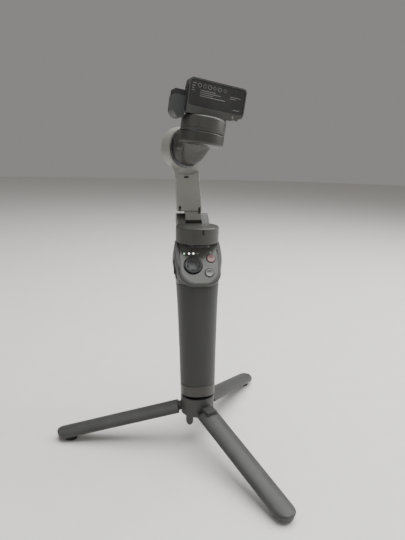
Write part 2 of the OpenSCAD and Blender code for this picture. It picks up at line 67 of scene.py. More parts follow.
@dataclass(frozen=True)
class Place:
    """A local frame of the object, whose lengths are in millimetres."""

    matrix: Matrix

    @staticmethod
    def of(origin: Vector, x: Vector, y: Vector) -> "Place":
        """Builds a frame from an origin in metres and two axes.

        Args:
            origin: where the frame's zero lies.
            x: direction of its X axis.
            y: rough direction of its Y axis, made square to X.

        Returns:
            The frame.
        """
        x = x.normalized()
        z = x.cross(y).normalized()
        y = z.cross(x)
        turn = Matrix((x, y, z)).transposed().to_4x4()
        return Place(Matrix.Translation(origin) @ turn @ Matrix.Scale(MM, 4))

    def turned(self, degrees: float, axis: str) -> "Place":
        """Returns this frame turned about one of its own axes."""
        return Place(self.matrix @ Matrix.Rotation(math.radians(degrees), 4, axis))

    def moved(self, x: float, y: float, z: float) -> "Place":
        """Returns this frame moved along its own axes, in millimetres."""
        return Place(self.matrix @ Matrix.Translation((x, y, z)))

    def z_along(self, axis: str) -> "Place":
        """Returns this frame with its Z axis laid along another of its axes.

        Args:
            axis: "X" or "-Y".

        Returns:
            The turned frame.
        """
        turn = {"X": (90, "Y"), "-Y": (90, "X")}[axis]
        return self.turned(*turn)

    def across(self, way: int = 1) -> "Place":
        """Returns this frame with Z laid along X, X along Y and Y along Z.

        Args:
            way: -1 to lay Z along -X instead.

        Returns:
            The laid frame.
        """
        return Place(self.matrix @ Matrix(((0, 0, way, 0), (1, 0, 0, 0), (0, 1, 0, 0), (0, 0, 0, 1))))


def joint(name: str) -> dict:
    """Returns the frame's joint of that name."""
    return next(j for j in frame["joints"] if j["name"] == name)


def joint_at(name: str) -> Vector:
    """Returns a hinge's position, in metres."""
    return Vector(joint(name)["pos_m"])


def joint_axis(name: str) -> Vector:
    """Returns a joint's axis."""
    return Vector(joint(name)["axis"])


class Places:
    """Every local frame, worked out from the joints and the boxes of the frame."""

    ARM_LEAN = 8.0
    LEG_SLOPE = 14.2
    STICK_TO_PANEL = (5.9, -17.6, 4.4)

    def __init__(self) -> None:
        """Works the frames out."""
        x, y, z = Vector((1, 0, 0)), Vector((0, 1, 0)), Vector((0, 0, 1))
        up_grip = joint_axis("zoom_slide")
        hub_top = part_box("tripod_hub")[1].z
        self.stand = Place.of(Vector((0, 0, 0)), x, y)
        self.grip = Place.of(Vector((0, 0, hub_top)), x, up_grip.cross(x))
        self.stick = Place.of(joint_at("joystick_up_down"), x, joint_axis("joystick_left_right"))
        pan = joint_at("pan")
        self.pan = Place.of(Vector((pan.x, pan.y, 0)), x, y)
        fold = joint_at("arm_fold")
        self.arm = Place.of(Vector((0, fold.y, fold.z)), x, y).turned(-self.ARM_LEAN, "X")
        out = joint_axis("roll")
        self.roll = Place.of(joint_at("roll"), out.cross(z) * -1, out * -1)
        self.tilt = Place.of(joint_at("tilt"), joint_axis("jaw_slide") * -1,
                             joint_axis("tilt").cross(joint_axis("jaw_slide") * -1))

    def leg(self, i: int) -> Place:
        """Returns the frame of one leg, X along the leg and Y along its pin.

        Args:
            i: number of the leg, from 1.

        Returns:
            The frame.
        """
        at = joint_at(f"leg_{i}_fold")
        slope = math.radians(self.LEG_SLOPE)
        along = Vector((at.x, at.y, 0)).normalized() * math.cos(slope)
        along.z = -math.sin(slope)
        across = Vector((0, 0, 1)).cross(along)
        return Place.of(at, along, across)

    @property
    def panel(self) -> Place:
        """Returns the control panel's frame, Y up along the panel and Z out of it."""
        return self.stick.moved(*self.STICK_TO_PANEL)

    @property
    def trigger(self) -> Place:
        """Returns the trigger pin's frame, along the grip's axes.

        Returns:
            The frame.
        """
        grip = self.grip.matrix.copy()
        grip.translation = joint_at("trigger_pull")
        return Place(grip)


# ---------------------------------------------------------------- outlines


def arc(cx: float, cy: float, r: float, start: float, stop: float, steps: int = 12) -> list[Point2]:
    """Returns points along an arc, angles in degrees."""
    turns = [math.radians(start + (stop - start) * i / steps) for i in range(steps + 1)]
    return [(cx + r * math.cos(t), cy + r * math.sin(t)) for t in turns]


def rounded_rect(x0: float, x1: float, y0: float, y1: float, r: float, steps: int = 8) -> list[Point2]:
    """Returns a rectangle's outline with round corners."""
    return (arc(x1 - r, y0 + r, r, -90, 0, steps) + arc(x1 - r, y1 - r, r, 0, 90, steps)
            + arc(x0 + r, y1 - r, r, 90, 180, steps) + arc(x0 + r, y0 + r, r, 180, 270, steps))


def superellipse(half_w: float, front: float, back: float, power: float, n: int = ROUND) -> list[Point2]:
    """Returns a soft-cornered outline with its own depth to the front and to the back.

    Args:
        half_w: half its width.
        front: its depth to the front.
        back: its depth to the back.
        power: 2 for an ellipse, higher for squarer corners.
        n: number of points.

    Returns:
        The outline.
    """
    points = []
    for i in range(n):
        t = 2 * math.pi * i / n
        c, s = math.cos(t), math.sin(t)
        depth = back if s > 0 else front
        points.append((half_w * math.copysign(abs(c) ** (2 / power), c),
                       depth * math.copysign(abs(s) ** (2 / power), s)))
    return points


def smooth(stations: list[tuple[float, ...]], at: float) -> list[float]:
    """Returns the values of a row of stations at a height, eased between neighbours.

    Args:
        stations: tuples of a height and its values, lowest first.
        at: the height wanted.

    Returns:
        The interpolated values.
    """
    heights = [s[0] for s in stations]
    k = max(0, min(len(stations) - 2, sum(h <= at for h in heights) - 1))
    near = [stations[max(0, min(len(stations) - 1, k + d))] for d in (-1, 0, 1, 2)]
    span = near[2][0] - near[1][0]
    t = max(0.0, min(1.0, (at - near[1][0]) / span))
    out = []
    for v in range(1, len(near[0])):
        a, b = near[1][v], near[2][v]
        ma = (b - near[0][v]) / max(near[2][0] - near[0][0], 1e-6) * span
        mb = (near[3][v] - a) / max(near[3][0] - near[1][0], 1e-6) * span
        out.append((2 * t**3 - 3 * t**2 + 1) * a + (t**3 - 2 * t**2 + t) * ma
                   + (-2 * t**3 + 3 * t**2) * b + (t**3 - t**2) * mb)
    return out


# ---------------------------------------------------------------- solids


class Solid:
    """A closed mesh under construction, in the row frame."""

    def __init__(self, name: str, verts: list[Vector], faces: list[list[int]], place: Place) -> None:
        """Makes the mesh object from points in millimetres of a place.

        Args:
            name: name of the object.
            verts: its points, in millimetres.
            faces: its faces, as numbers of points.
            place: the frame that the points are in.
        """
        mesh = bpy.data.meshes.new(name)
        mesh.from_pydata([place.matrix @ Vector(v) for v in verts], [], faces)
        work = bmesh.new()
        work.from_mesh(mesh)
        bmesh.ops.remove_doubles(work, verts=work.verts, dist=1e-7)
        bmesh.ops.recalc_face_normals(work, faces=work.faces)
        work.to_mesh(mesh)
        work.free()
        self.obj = bpy.data.objects.new(name, mesh)
        bpy.context.scene.collection.objects.link(self.obj)

    @staticmethod
    def loft(name: str, rings: list[list[Vector]], place: Place) -> "Solid":
        """Joins rings of equal length into a closed solid with flat ends.

        Args:
            name: name of the object.
            rings: rows of points, each as long as the others.
            place: the frame that the points are in.

        Returns:
            The solid.
        """
        n = len(rings[0])
        verts = [v for ring in rings for v in ring]
        faces = [[k * n + i, k * n + (i + 1) % n, (k + 1) * n + (i + 1) % n, (k + 1) * n + i]
                 for k in range(len(rings) - 1) for i in range(n)]
        last = (len(rings) - 1) * n
        faces += [list(range(n))[::-1], [last + i for i in range(n)]]
        return Solid(name, verts, faces, place)

    @staticmethod
    def lathe(name: str, profile: list[tuple], place: Place, n: int = ROUND) -> "Solid":
        """Turns a profile about Z; ends on the axis close the solid.

        Args:
            name: the piece's name.
            profile: pairs of radius and height, with a third number where the surface is knurled that deep.
            place: the frame it turns in.
            n: steps of the turn.

        Returns:
            The solid.
        """
        turns = [2 * math.pi * i / n for i in range(n)]
        inner = [p for p in profile if p[0] > 1e-6]
        verts = []
        for r, z, *deep in inner:
            for i, t in enumerate(turns):
                reach = r - (deep[0] if deep and i % 4 < 2 else 0)
                verts.append(Vector((reach * math.cos(t), reach * math.sin(t), z)))
        count = len(inner)
        faces = [[k * n + i, k * n + (i + 1) % n, (k + 1) * n + (i + 1) % n, (k + 1) * n + i]
                 for k in range(count - 1) for i in range(n)]
        if profile[0][0] > 1e-6 and profile[-1][0] > 1e-6:
            last = count - 1
            faces += [[last * n + i, last * n + (i + 1) % n, (i + 1) % n, i] for i in range(n)]
            return Solid(name, verts, faces, place)
        for end, row in ((profile[0], 0), (profile[-1], count - 1)):
            verts.append(Vector((0, 0, end[1])))
            faces += [[row * n + i, row * n + (i + 1) % n, len(verts) - 1] for i in range(n)]
        return Solid(name, verts, faces, place)

    @staticmethod
    def prism(name: str, outline: list[Point2], z0: float, z1: float, place: Place) -> "Solid":
        """Extrudes an outline between two heights."""
        rings = [[Vector((x, y, z)) for x, y in outline] for z in (z0, z1)]
        return Solid.loft(name, rings, place)

    @staticmethod
    def block(name: str, low: tuple, high: tuple, place: Place) -> "Solid":
        """Makes a plain block, used to cut other solids or to be joined into them."""
        outline = [(low[0], low[1]), (high[0], low[1]), (high[0], high[1]), (low[0], high[1])]
        return Solid.prism(name, outline, low[2], high[2], place)

    @staticmethod
    def rod(name: str, r: float, z0: float, z1: float, place: Place, n: int = ROUND) -> "Solid":
        """Makes a plain cylinder along Z, used to cut other solids or to be joined into them."""
        return Solid.lathe(name, [(0, z0), (r, z0), (r, z1), (0, z1)], place, n)

    def modifier(self, kind: str, **settings) -> bpy.types.Modifier:
        """Adds a modifier with its settings and returns it.

        Args:
            kind: the modifier's type.
            settings: its own settings.

        Returns:
            The modifier.
        """
        mod = self.obj.modifiers.new(kind.lower(), kind)
        for key, value in settings.items():
            setattr(mod, key, value)
        return mod

    def bake(self) -> "Solid":
        """Turns the modifiers into mesh.

        Returns:
            This solid.
        """
        bpy.context.view_layer.update()
        shown = self.obj.evaluated_get(bpy.context.evaluated_depsgraph_get())
        mesh = bpy.data.meshes.new_from_object(shown)
        old = self.obj.data
        self.obj.modifiers.clear()
        self.obj.data = mesh
        mesh.name = self.obj.name
        bpy.data.meshes.remove(old)
        return self

    def _combine(self, others: tuple["Solid", ...], how: str) -> "Solid":
        """Booleans the others into this solid and removes them.

        Args:
            others: the solids that are used up.
            how: the operation of the Boolean modifier.

        Returns:
            This solid.
        """
        for other in others:
            self.modifier("BOOLEAN", operation=how, object=other.obj, solver="EXACT")
            self.bake()
            bpy.data.objects.remove(other.obj)
        return self

    def cut(self, *tools: "Solid") -> "Solid":
        """Cuts the tools out of this solid."""
        return self._combine(tools, "DIFFERENCE")

    def add(self, *others: "Solid") -> "Solid":
        """Joins the others to this solid."""
        return self._combine(others, "UNION")

    def keep(self, *others: "Solid") -> "Solid":
        """Keeps what lies inside the others."""
        return self._combine(others, "INTERSECT")

    def blend(self, voxel: float, passes: int) -> "Solid":
        """Flows the solid's parts into each other, as one moulding.

        Args:
            voxel: grid size in millimetres.
            passes: how many times the surface is relaxed.

        Returns:
            This solid.
        """
        self.modifier("REMESH", mode="VOXEL", voxel_size=voxel * MM)
        self.modifier("SMOOTH", factor=0.5, iterations=passes)
        return self.bake()

    def soften(self, width: float, segments: int = 3, angle: float = 32.0) -> "Solid":
        """Rounds the edges sharper than an angle, and shades the faces smooth.

        Args:
            width: width of the rounding, in millimetres.
            segments: steps of the rounding.
            angle: the angle, in degrees.

        Returns:
            This solid.
        """
        work = bmesh.new()
        work.from_mesh(self.obj.data)
        bmesh.ops.remove_doubles(work, verts=work.verts, dist=2e-6)
        bmesh.ops.dissolve_degenerate(work, dist=2e-6, edges=work.edges)
        work.to_mesh(self.obj.data)
        work.free()
        self.modifier("BEVEL", width=width * MM, segments=segments, limit_method="ANGLE",
                      angle_limit=math.radians(angle), harden_normals=False, miter_outer="MITER_ARC")
        self.smooth_shading()
        self.modifier("WEIGHTED_NORMAL", keep_sharp=True, weight=60)
        return self

    def smooth_shading(self, angle: float = 40.0) -> "Solid":
        """Shades the faces smooth, with sharp edges past an angle.

        Args:
            angle: the angle, in degrees.

        Returns:
            This solid.
        """
        mesh = self.obj.data
        mesh.polygons.foreach_set("use_smooth", [True] * len(mesh.polygons))
        mesh.set_sharp_from_angle(angle=math.radians(angle))
        return self

    def finish(self, body: str, finish: "Finish", replaces: tuple[str, ...] = ()) -> None:
        """Dresses the piece and lets it ride on its body.

        Args:
            body: the CAD body it moves with.
            finish: its material.
            replaces: the CAD nodes that it stands for.
        """
        self.obj.data.materials.clear()
        self.obj.data.materials.append(finish.material())
        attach(self.obj, body)
        if replaces:
            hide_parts(*replaces)
        LOG.info("%s: %d faces on %s", self.obj.name, len(self.obj.data.polygons), body)


# ---------------------------------------------------------------- finishes


class Socket:
    """A shader value; expressions on it add Math nodes."""

    def __init__(self, tree: "Tree", link: bpy.types.NodeSocket) -> None:
        """Keeps a node's output and the tree it is in."""
        self.tree = tree
        self.link = link

    def _math(self, operation: str, a: "Socket | float", b: "Socket | float") -> "Socket":
        """Adds a Math node on two values."""
        return self.tree.node("ShaderNodeMath", {0: a, 1: b}, operation=operation)

    def __add__(self, other: "Socket | float") -> "Socket":
        """Adds a value."""
        return self._math("ADD", self, other)

    __radd__ = __add__

    def __sub__(self, other: "Socket | float") -> "Socket":
        """Takes a value away."""
        return self._math("SUBTRACT", self, other)

    def __rsub__(self, other: "Socket | float") -> "Socket":
        """Takes this value away from another."""
        return self._math("SUBTRACT", other, self)

    def __mul__(self, other: "Socket | float") -> "Socket":
        """Multiplies by a value."""
        return self._math("MULTIPLY", self, other)

    __rmul__ = __mul__


class Tree:
    """A material's nodes."""

    def __init__(self, name: str) -> None:
        """Starts an empty material.

        Args:
            name: name of the material.
        """
        self.material = bpy.data.materials.new(name)
        self.material.use_nodes = True
        self.tree = self.material.node_tree
        self.tree.nodes.clear()

    def node(self, kind: str, inputs: dict, output: int | str = 0, **settings) -> Socket:
        """Adds a node.

        Args:
            kind: the node's type.
            inputs: values, colours or links by socket name or number.
            output: which output is returned.
            settings: the node's own settings.

        Returns:
            The chosen output.
        """
        made = self.tree.nodes.new(kind)
        for key, value in settings.items():
            setattr(made, key, value)
        for key, value in inputs.items():
            if isinstance(value, Socket):
                self.tree.links.new(value.link, made.inputs[key])
            else:
                colour = isinstance(value, tuple) and kind != "ShaderNodeMapping"
                made.inputs[key].default_value = (*value, 1) if colour else value
        return Socket(self, made.outputs[output])

    def object_point(self, stretch: tuple[float, float, float] = (1, 1, 1)) -> Socket:
        """Returns the point on the piece, stretched along the axes."""
        point = self.node("ShaderNodeTexCoord", {}, "Object")
        return self.node("ShaderNodeMapping", {"Vector": point, "Scale": stretch})

    def noise(self, point: Socket, scale: float, detail: float = 2.0) -> Socket:
        """Returns soft noise from 0 to 1, its scale in waves per metre."""
        settings = {"Vector": point, "Scale": scale, "Detail": detail}
        return self.node("ShaderNodeTexNoise", settings, "Fac")

    def mix(self, share: "Socket | float", first: "Socket | Colour", second: "Socket | Colour") -> Socket:
        """Mixes two colours."""
        return self.node("ShaderNodeMix", {0: share, 6: first, 7: second}, 2, data_type="RGBA")

    def ramp(self, value: Socket, low: float, high: float) -> Socket:
        """Spreads the values between low and high over 0 to 1."""
        return self.node("ShaderNodeMapRange", {"Value": value, "From Min": low, "From Max": high})

    def shade(self, inputs: dict) -> None:
        """Ends the tree in one shader with these inputs."""
        out = self.tree.nodes.new("ShaderNodeOutputMaterial")
        self.tree.links.new(self.node("ShaderNodeBsdfPrincipled", inputs).link, out.inputs["Surface"])


class Grain(Enum):
    """How a surface is textured: stretch of the grain, waves per metre, and detail."""

    SPARK = ((1, 1, 1), 2600.0, 3.0)
    SATIN = ((1, 1, 1), 4200.0, 2.0)
    SOFT = ((1, 1, 1), 1700.0, 4.0)
    BRUSHED = ((1, 1, 0.03), 5200.0, 2.0)
    WOUND = ((0.02, 0.02, 1), 5200.0, 0.0)


def scaled(colour: Colour, share: float) -> Colour:
    """Returns a colour made lighter or darker."""
    return tuple(min(1.0, c * share) for c in colour)


# Each noise's waves per metre and detail: slow clouds, handling marks, and waves in the surface.
CLOUD = (48.0, 5.0)
SPECK = (210.0, 6.0)
WAVE = (300.0, 2.0)


@dataclass(frozen=True)
class Finish:
    """A moulded, coated or metal finish with grain, uneven gloss and handling marks."""

    name: str
    colour: Colour
    roughness: float = 0.5
    grain: Grain = Grain.SPARK
    depth: float = 0.03
    mottle: float = 0.08
    marks: float = 0.0
    metallic: float = 0.0
    coat: float = 0.0
    sheen: float = 0.0
    slot: str = ""

    @cache
    def material(self) -> bpy.types.Material:
        """Returns the finish's material, made once.

        Returns:
            The material.
        """
        tree = Tree(self.name)
        point = tree.object_point()
        cloud = tree.noise(point, *CLOUD)
        fine = tree.noise(tree.object_point(self.grain.value[0]), *self.grain.value[1:])
        inputs = {
            "Base Color": self.tone(tree, point, cloud),
            "Roughness": self.roughness + (cloud - 0.5) * 0.22 + (fine - 0.5) * 0.12,
            "Metallic": self.metallic,
            "Coat Weight": self.coat,
            "Coat Roughness": 0.12,
            "Sheen Weight": self.sheen,
            "Normal": tree.node("ShaderNodeBump", {"Height": fine + self.relief(tree, point),
                                                   "Strength": 1.0, "Distance": self.depth * MM}, "Normal"),
        }
        tree.shade(inputs | self.light())
        return tree.material

    def tone(self, tree: Tree, point: Socket, cloud: Socket) -> Socket:
        """Returns the surface's colour, clouded and marked.

        Args:
            tree: the material's nodes.
            point: the point on the piece.
            cloud: slow noise over the piece.

        Returns:
            The colour.
        """
        base = tree.mix(tree.ramp(cloud, 0.3, 0.7), scaled(self.colour, 1 - self.mottle),
                        scaled(self.colour, 1 + self.mottle))
        if not self.marks:
            return base
        speck = tree.ramp(tree.noise(point, *SPECK), 0.56, 0.72) * tree.ramp(cloud, 0.35, 0.65)
        return tree.mix(speck * self.marks, base, scaled(self.colour, 1.9))

    def relief(self, tree: Tree, point: Socket) -> Socket:
        """Returns slow waves under the grain."""
        return tree.noise(point, *WAVE) * 0.8

    def light(self) -> dict:
        """Returns what the surface gives off by itself."""
        return {}


@dataclass(frozen=True)
class Lens(Finish):
    """A small clear lens with a light behind it."""

    glow: float = 0.0

    def light(self) -> dict:
        """Returns the lamp's colour and strength."""
        return {"Emission Color": self.colour, "Emission Strength": self.glow}


@dataclass(frozen=True)
class Board(Finish):
    """A circuit board with tracks and pads."""

    def tone(self, tree: Tree, point: Socket, cloud: Socket) -> Socket:
        """Returns the board's lacquer, with paler tracks under it.

        Args:
            tree: the material's nodes.
            point: the point on the piece.
            cloud: slow noise over the piece.

        Returns:
            The colour.
        """
        tracks = tree.node("ShaderNodeTexBrick", {"Vector": point, "Scale": 320.0, "Mortar Size": 0.09},
                           "Fac", offset=0.5)
        pads = tree.node("ShaderNodeTexVoronoi", {"Vector": point, "Scale": 520.0}, "Distance")
        lacquer = tree.mix(tracks, self.colour, scaled(self.colour, 2.4))
        return tree.mix(1 - tree.ramp(pads, 0.16, 0.22), lacquer, (0.55, 0.42, 0.2))


class Palette:
    """Every finish of the object."""

    LEG = Finish("leg_plastic", (0.044, 0.045, 0.042), 0.52, depth=0.035, mottle=0.16,
                 marks=0.3)
    HUB = Finish("hub_plastic", (0.042, 0.043, 0.040), 0.5, mottle=0.12, marks=0.12)
    FOOT = Finish("foot_rubber", (0.02, 0.02, 0.021), 0.8, Grain.SOFT, 0.05, 0.2)
    STEEL = Finish("steel", (0.56, 0.56, 0.55), 0.28, Grain.BRUSHED, 0.008, 0.05, metallic=1.0)
    BRASS = Finish("brass", (0.62, 0.44, 0.2), 0.3, Grain.BRUSHED, 0.008, 0.08, metallic=1.0)
    BASE = Finish("base_plastic", (0.056, 0.055, 0.050), 0.45, mottle=0.1, marks=0.1)
    GRIP = Finish("grip_rubber", (0.036, 0.037, 0.034), 0.68, Grain.SOFT, 0.045, 0.1,
                  marks=0.08, sheen=0.15)
    FRAME = Finish("frame_plastic", (0.03, 0.032, 0.034), 0.5)
    SHELL = Finish("shell_plastic", (0.055, 0.056, 0.053), 0.42, mottle=0.06, marks=0.06)
    PANEL = Finish("panel_plastic", (0.102, 0.106, 0.096), 0.36, Grain.SATIN, 0.012, 0.05,
                   coat=0.15)
    BLACK = Finish("black_plastic", (0.014, 0.014, 0.015), 0.4, Grain.SATIN, 0.015)
    BOARD = Board("board", (0.012, 0.07, 0.03), 0.35, Grain.SATIN, 0.02, coat=0.4)
    CELL = Finish("cell_wrap", (0.05, 0.16, 0.36), 0.3, Grain.SATIN, 0.012, 0.1, coat=0.3)
    STICK = Finish("joystick_rubber", (0.04, 0.041, 0.044), 0.42, Grain.SATIN, 0.02, 0.12)
    SHUTTER = Finish("shutter_red", (0.19, 0.085, 0.088), 0.34, Grain.SATIN, 0.01, 0.08,
                     coat=0.4)
    MODE = Finish("mode_grey", (0.11, 0.112, 0.11), 0.26, Grain.SATIN, 0.008, 0.06, coat=0.5)
    MOTOR = Finish("motor_plastic", (0.045, 0.0455, 0.041), 0.4, Grain.SATIN, 0.018, 0.07,
                   marks=0.05, coat=0.08)
    # Painted shade: the motor plastic, darkened for the roll arm, which is the same plastic sitting in
    # shadow.
    SHADED_ELBOW = Finish("elbow_painted_shade", (0.031, 0.0315, 0.028), 0.4, Grain.SATIN, 0.018, 0.07, marks=0.05,
                   slot="motor_plastic")
    MAGNET = Finish("magnet_steel", (0.3, 0.31, 0.33), 0.34, Grain.BRUSHED, 0.01,
                    metallic=1.0)
    COPPER = Finish("copper", (0.62, 0.28, 0.14), 0.32, Grain.WOUND, 0.09, 0.1, metallic=0.9)
    ARM = Finish("arm_plastic", (0.24, 0.241, 0.217), 0.42, mottle=0.05, marks=0.05)
    FLEX = Finish("flex", (0.5, 0.22, 0.04), 0.3, Grain.SATIN, 0.01, 0.08, coat=0.3)
    CLAMP = Finish("clamp_plastic", (0.052, 0.053, 0.049), 0.44, mottle=0.08, marks=0.06)
    LABEL = Finish("label_black", (0.026, 0.0265, 0.026), 0.36, Grain.SATIN, 0.015, 0.1,
                   marks=0.08)
    PRINT = Finish("label_print", (0.16, 0.16, 0.158), 0.5, Grain.SATIN, 0.01, 0.2, slot="label_black")
    JAW = Finish("jaw_plastic", (0.046, 0.048, 0.051), 0.42, mottle=0.08, marks=0.06)
    PAD = Finish("pad_rubber", (0.011, 0.011, 0.012), 0.72, Grain.SOFT, 0.04, 0.2)
    GREEN = Lens("light_green", (0.55, 1.0, 0.6), 0.3, slot="light_lens", glow=1.1)
    WHITE = Lens("light_white", (1.0, 0.98, 0.95), 0.3, slot="light_lens", glow=3.2)
    DIM = Lens("light_dim", (0.34, 0.35, 0.34), 0.3, slot="light_lens", glow=0.05)
    FLOOR = Finish("floor_paint", (0.8, 0.79, 0.765), 0.55, Grain.SOFT, 0.02, 0.015)


NODE_FINISHES = {
    Palette.STEEL: ("tripod_screw", "leg_pins", "usb_port", "handle_screws", "joystick_ring", "trigger_pin",
                    "pan_shaft", "pan_bearings", "fold_pin", "roll_bearings", "tilt_bearings", "clamp_rods"),
    Palette.BRASS: ("thread_insert",),
    Palette.FRAME: ("handle_frame",),
    Palette.BLACK: ("tact_switches", "joystick_base", "battery_strap"),
    Palette.BOARD: ("main_board", "button_board"),
    Palette.CELL: ("battery_cells",),
    Palette.MAGNET: ("pan_rotor", "roll_rotor", "tilt_rotor"),
    Palette.COPPER: ("pan_stator", "roll_stator", "tilt_stator"),
    Palette.FLEX: ("arm_flex",),
}


# Width of the fine edge on the CAD nodes, in millimetres.
NODE_EDGE = 0.12


def dress_nodes() -> None:
    """Gives the CAD nodes that stay their finishes and a fine edge."""
    for finish, names in NODE_FINISHES.items():
        for name in names:
            node = frame["nodes"][name]
            if not node.material_slots:
                node.data.materials.append(finish.material())
            for place in node.material_slots:
                place.material = finish.material()
            node.modifiers.new("weld", "WELD").merge_threshold = 1e-6
            edge = node.modifiers.new("edge", "BEVEL")
            edge.width, edge.segments, edge.angle_limit = NODE_EDGE * MM, 2, math.radians(35)
            LOG.info("%s keeps its CAD shape, in %s", name, finish.name)


# ---------------------------------------------------------------- stand


def rows(low: float, high: float, step: float, edge: float) -> list[Point2]:
    """Returns heights and how far each is drawn in, so that both ends come out rounded.

    Args:
        low: the lower end.
        high: the upper end.
        step: rough spacing between the ends.
        edge: radius of the rounding.

    Returns:
        Pairs of height and inset, lowest first.
    """
    turns = [math.radians(22.5 * i) for i in range(4)]
    end = [(edge * (1 - math.cos(t)), edge * (1 - math.sin(t))) for t in turns]
    count = max(1, round((high - low - 2 * edge) / step))
    middle = [(low + edge + (high - low - 2 * edge) * i / count, 0.0) for i in range(count + 1)]
    return [(low + d, inset) for d, inset in end] + middle + [(high - d, inset) for d, inset in end[::-1]]


def rim_profile(inner: float, outer: float, low: float, high: float, edge: float,
                steps: int = 5) -> list[Point2]:
    """Returns a lathe profile of a disc or ring with its outer rims rounded.

    Args:
        inner: radius of the bore, 0 for a disc.
        outer: radius of the rims.
        low: the lower face.
        high: the upper face.
        edge: radius of the rounding.
        steps: steps of each rounding.

    Returns:
        The profile.
    """
    return ([(inner, low)] + arc(outer - edge, low + edge, edge, -90, 0, steps)
            + arc(outer - edge, high - edge, edge, 0, 90, steps) + [(inner, high)])


@dataclass
class Stand:
    """The three-leg stand under the handle."""

    places: Places
    hub_r: float = 15.7
    wall_r: float = 13.9
    body_z: float = 33.5
    skirt_z: float = 29.4
    hinge_r: float = 10.5
    hinge_z: float = 34.0
    ear_r: float = 4.1
    ear_w: float = 3.4
    ear_out: float = 6.5
    pin_hole_r: float = 1.52
    recess_r: float = 5.6
    screw_hole_r: float = 3.3
    knuckle_w: float = 9.0
    knuckle_r: float = 4.0
    knuckle_hole_r: float = 1.56
    play: float = 0.6
    petal_low: float = 21.0
    petal_half_w: float = 3.7
    first_leg: float = 53.1

    def build(self) -> None:
        """Makes the hub, the legs and the feet."""
        self.hub()
        for i in (1, 2, 3):
            self.leg(i)
            self.foot(i)

    def hub(self) -> None:
        """Makes the hub, slotted for the legs, with a skirt between each pair."""
        at = self.places.stand
        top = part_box("tripod_hub")[1].z / MM
        body = Solid.lathe("hub", rim_profile(0, self.hub_r, self.body_z, top, 0.7, 6), at)
        wall = [(self.wall_r, self.skirt_z), (self.hub_r, self.skirt_z), (self.hub_r, self.body_z + 2),
                (self.wall_r, self.body_z + 2)]
        body.add(Solid.lathe("wall", wall, at))
        slot = self.knuckle_w + self.play
        for i in range(3):
            leg = at.turned(self.first_leg + 120 * i, "Z")
            for side in (-1, 1):
                near = side * self.ear_out - self.ear_w / 2
                ear = leg.moved(self.hinge_r, near, self.hinge_z).turned(-90, "X")
                body.add(Solid.rod("ear", self.ear_r, 0, self.ear_w, ear, 48))
        for i in range(3):
            leg = at.turned(self.first_leg + 120 * i, "Z")
            body.cut(Solid.block("slot", (self.hinge_r - 4.4, -slot / 2, self.body_z - 6),
                                 (self.hinge_r + 15, slot / 2, self.body_z + 5.7), leg))
            bore = leg.moved(self.hinge_r, -9, self.hinge_z).turned(-90, "X")
            body.cut(Solid.rod("bore", self.pin_hole_r, 0, 18, bore, 32))
            body.add(self.petal(leg.turned(60, "Z")))
        body.cut(Solid.rod("recess", self.recess_r, 20, 41, at, 48),
                 Solid.rod("hole", self.screw_hole_r, 40, 60, at, 48))
        body.soften(0.45)
        body.finish("handle", Palette.HUB, ("tripod_hub",))

    def petal(self, place: Place) -> Solid:
        """Makes one round-ended skirt, bent to the hub's wall.

        Args:
            place: frame of the stand, turned to face between two legs.

        Returns:
            The skirt.
        """
        rings = []
        reach = self.body_z + 1 - self.petal_low
        for k in range(25):
            t = math.sin(math.pi / 2 * k / 24)
            z = self.petal_low + reach * (1 - t)
            half = self.petal_half_w * math.sqrt(max(1 - max(0, (t - 0.66) / 0.34) ** 2, 0.0004))
            swing = half / self.hub_r
            out = [(self.hub_r - 0.02, -swing + swing * 2 * i / 12) for i in range(13)]
            back = [(self.wall_r + 0.02, a) for _, a in out[::-1]]
            rings.append([Vector((r * math.cos(a), r * math.sin(a), z)) for r, a in out + back])
        return Solid.loft("petal", rings, place)

    def leg(self, i: int) -> None:
        """Makes one leg: an arched bar with a round tip, hollow below.

        Args:
            i: number of the leg, from 1.
        """
        name = f"leg_{i}"
        at = self.places.leg(i)
        inverse = at.matrix.inverted()
        length = max((inverse @ v.co).x for v in frame["nodes"][name].data.vertices)
        bar = Solid.loft(name, self.leg_rings(length, 7.0, 0.0), at)
        bar.cut(Solid.loft("channel", self.leg_rings(length - 16, 9.5, 1.7), at))
        pin = at.moved(0, -self.knuckle_w / 2, 0).turned(-90, "X")
        bar.add(Solid.rod("knuckle", self.knuckle_r, 0, self.knuckle_w, pin, 64),
                Solid.block("neck", (0, -4.48, -1.48), (12, 4.48, 3.4), at))
        for side in (-1, 1):
            bar.add(Solid.block("rib", (9, side * 4.5 - 0.7, -1), (length - 20, side * 4.5 + 0.7, 4), at))
        bar.cut(Solid.rod("bore", self.knuckle_hole_r, -5, 20, pin, 32))
        bar.smooth_shading(30)
        bar.finish(name, Palette.LEG, (name,))

    def leg_rings(self, length: float, root: float, inset: float) -> list[list[Vector]]:
        """Returns the leg's cross-sections from root to tip, drawn in by an inset.

        Args:
            length: distance from the pin to the tip.
            root: where the bar starts.
            inset: how far the surface is drawn in.

        Returns:
            The rings.
        """
        root_w, tip_w, arch, low = 10.8, 9.5, 16.0, -1.5
        start = length - tip_w
        stations = [(root + d, e) for d, e in [(0, 0.9), (0.15, 0.45), (0.5, 0.12), (1.1, 0)]]
        stations += [(root + 1.1 + (start - root - 1.1) * k / 24, 0) for k in range(1, 25)]
        rings = []
        for x, edge in stations:
            rings.append(self.leg_ring(x, root_w + (tip_w - root_w) * (x - root) / (start - root) - edge,
                                       arch, low, inset, edge))
        for k in range(1, 13):
            t = math.pi / 2 * k / 12
            rings.append(self.leg_ring(start + tip_w * math.sin(t), tip_w * max(math.cos(t), 0.03),
                                       arch, low, inset, 1.6 * (1 - math.cos(t)) ** 3))
        return rings

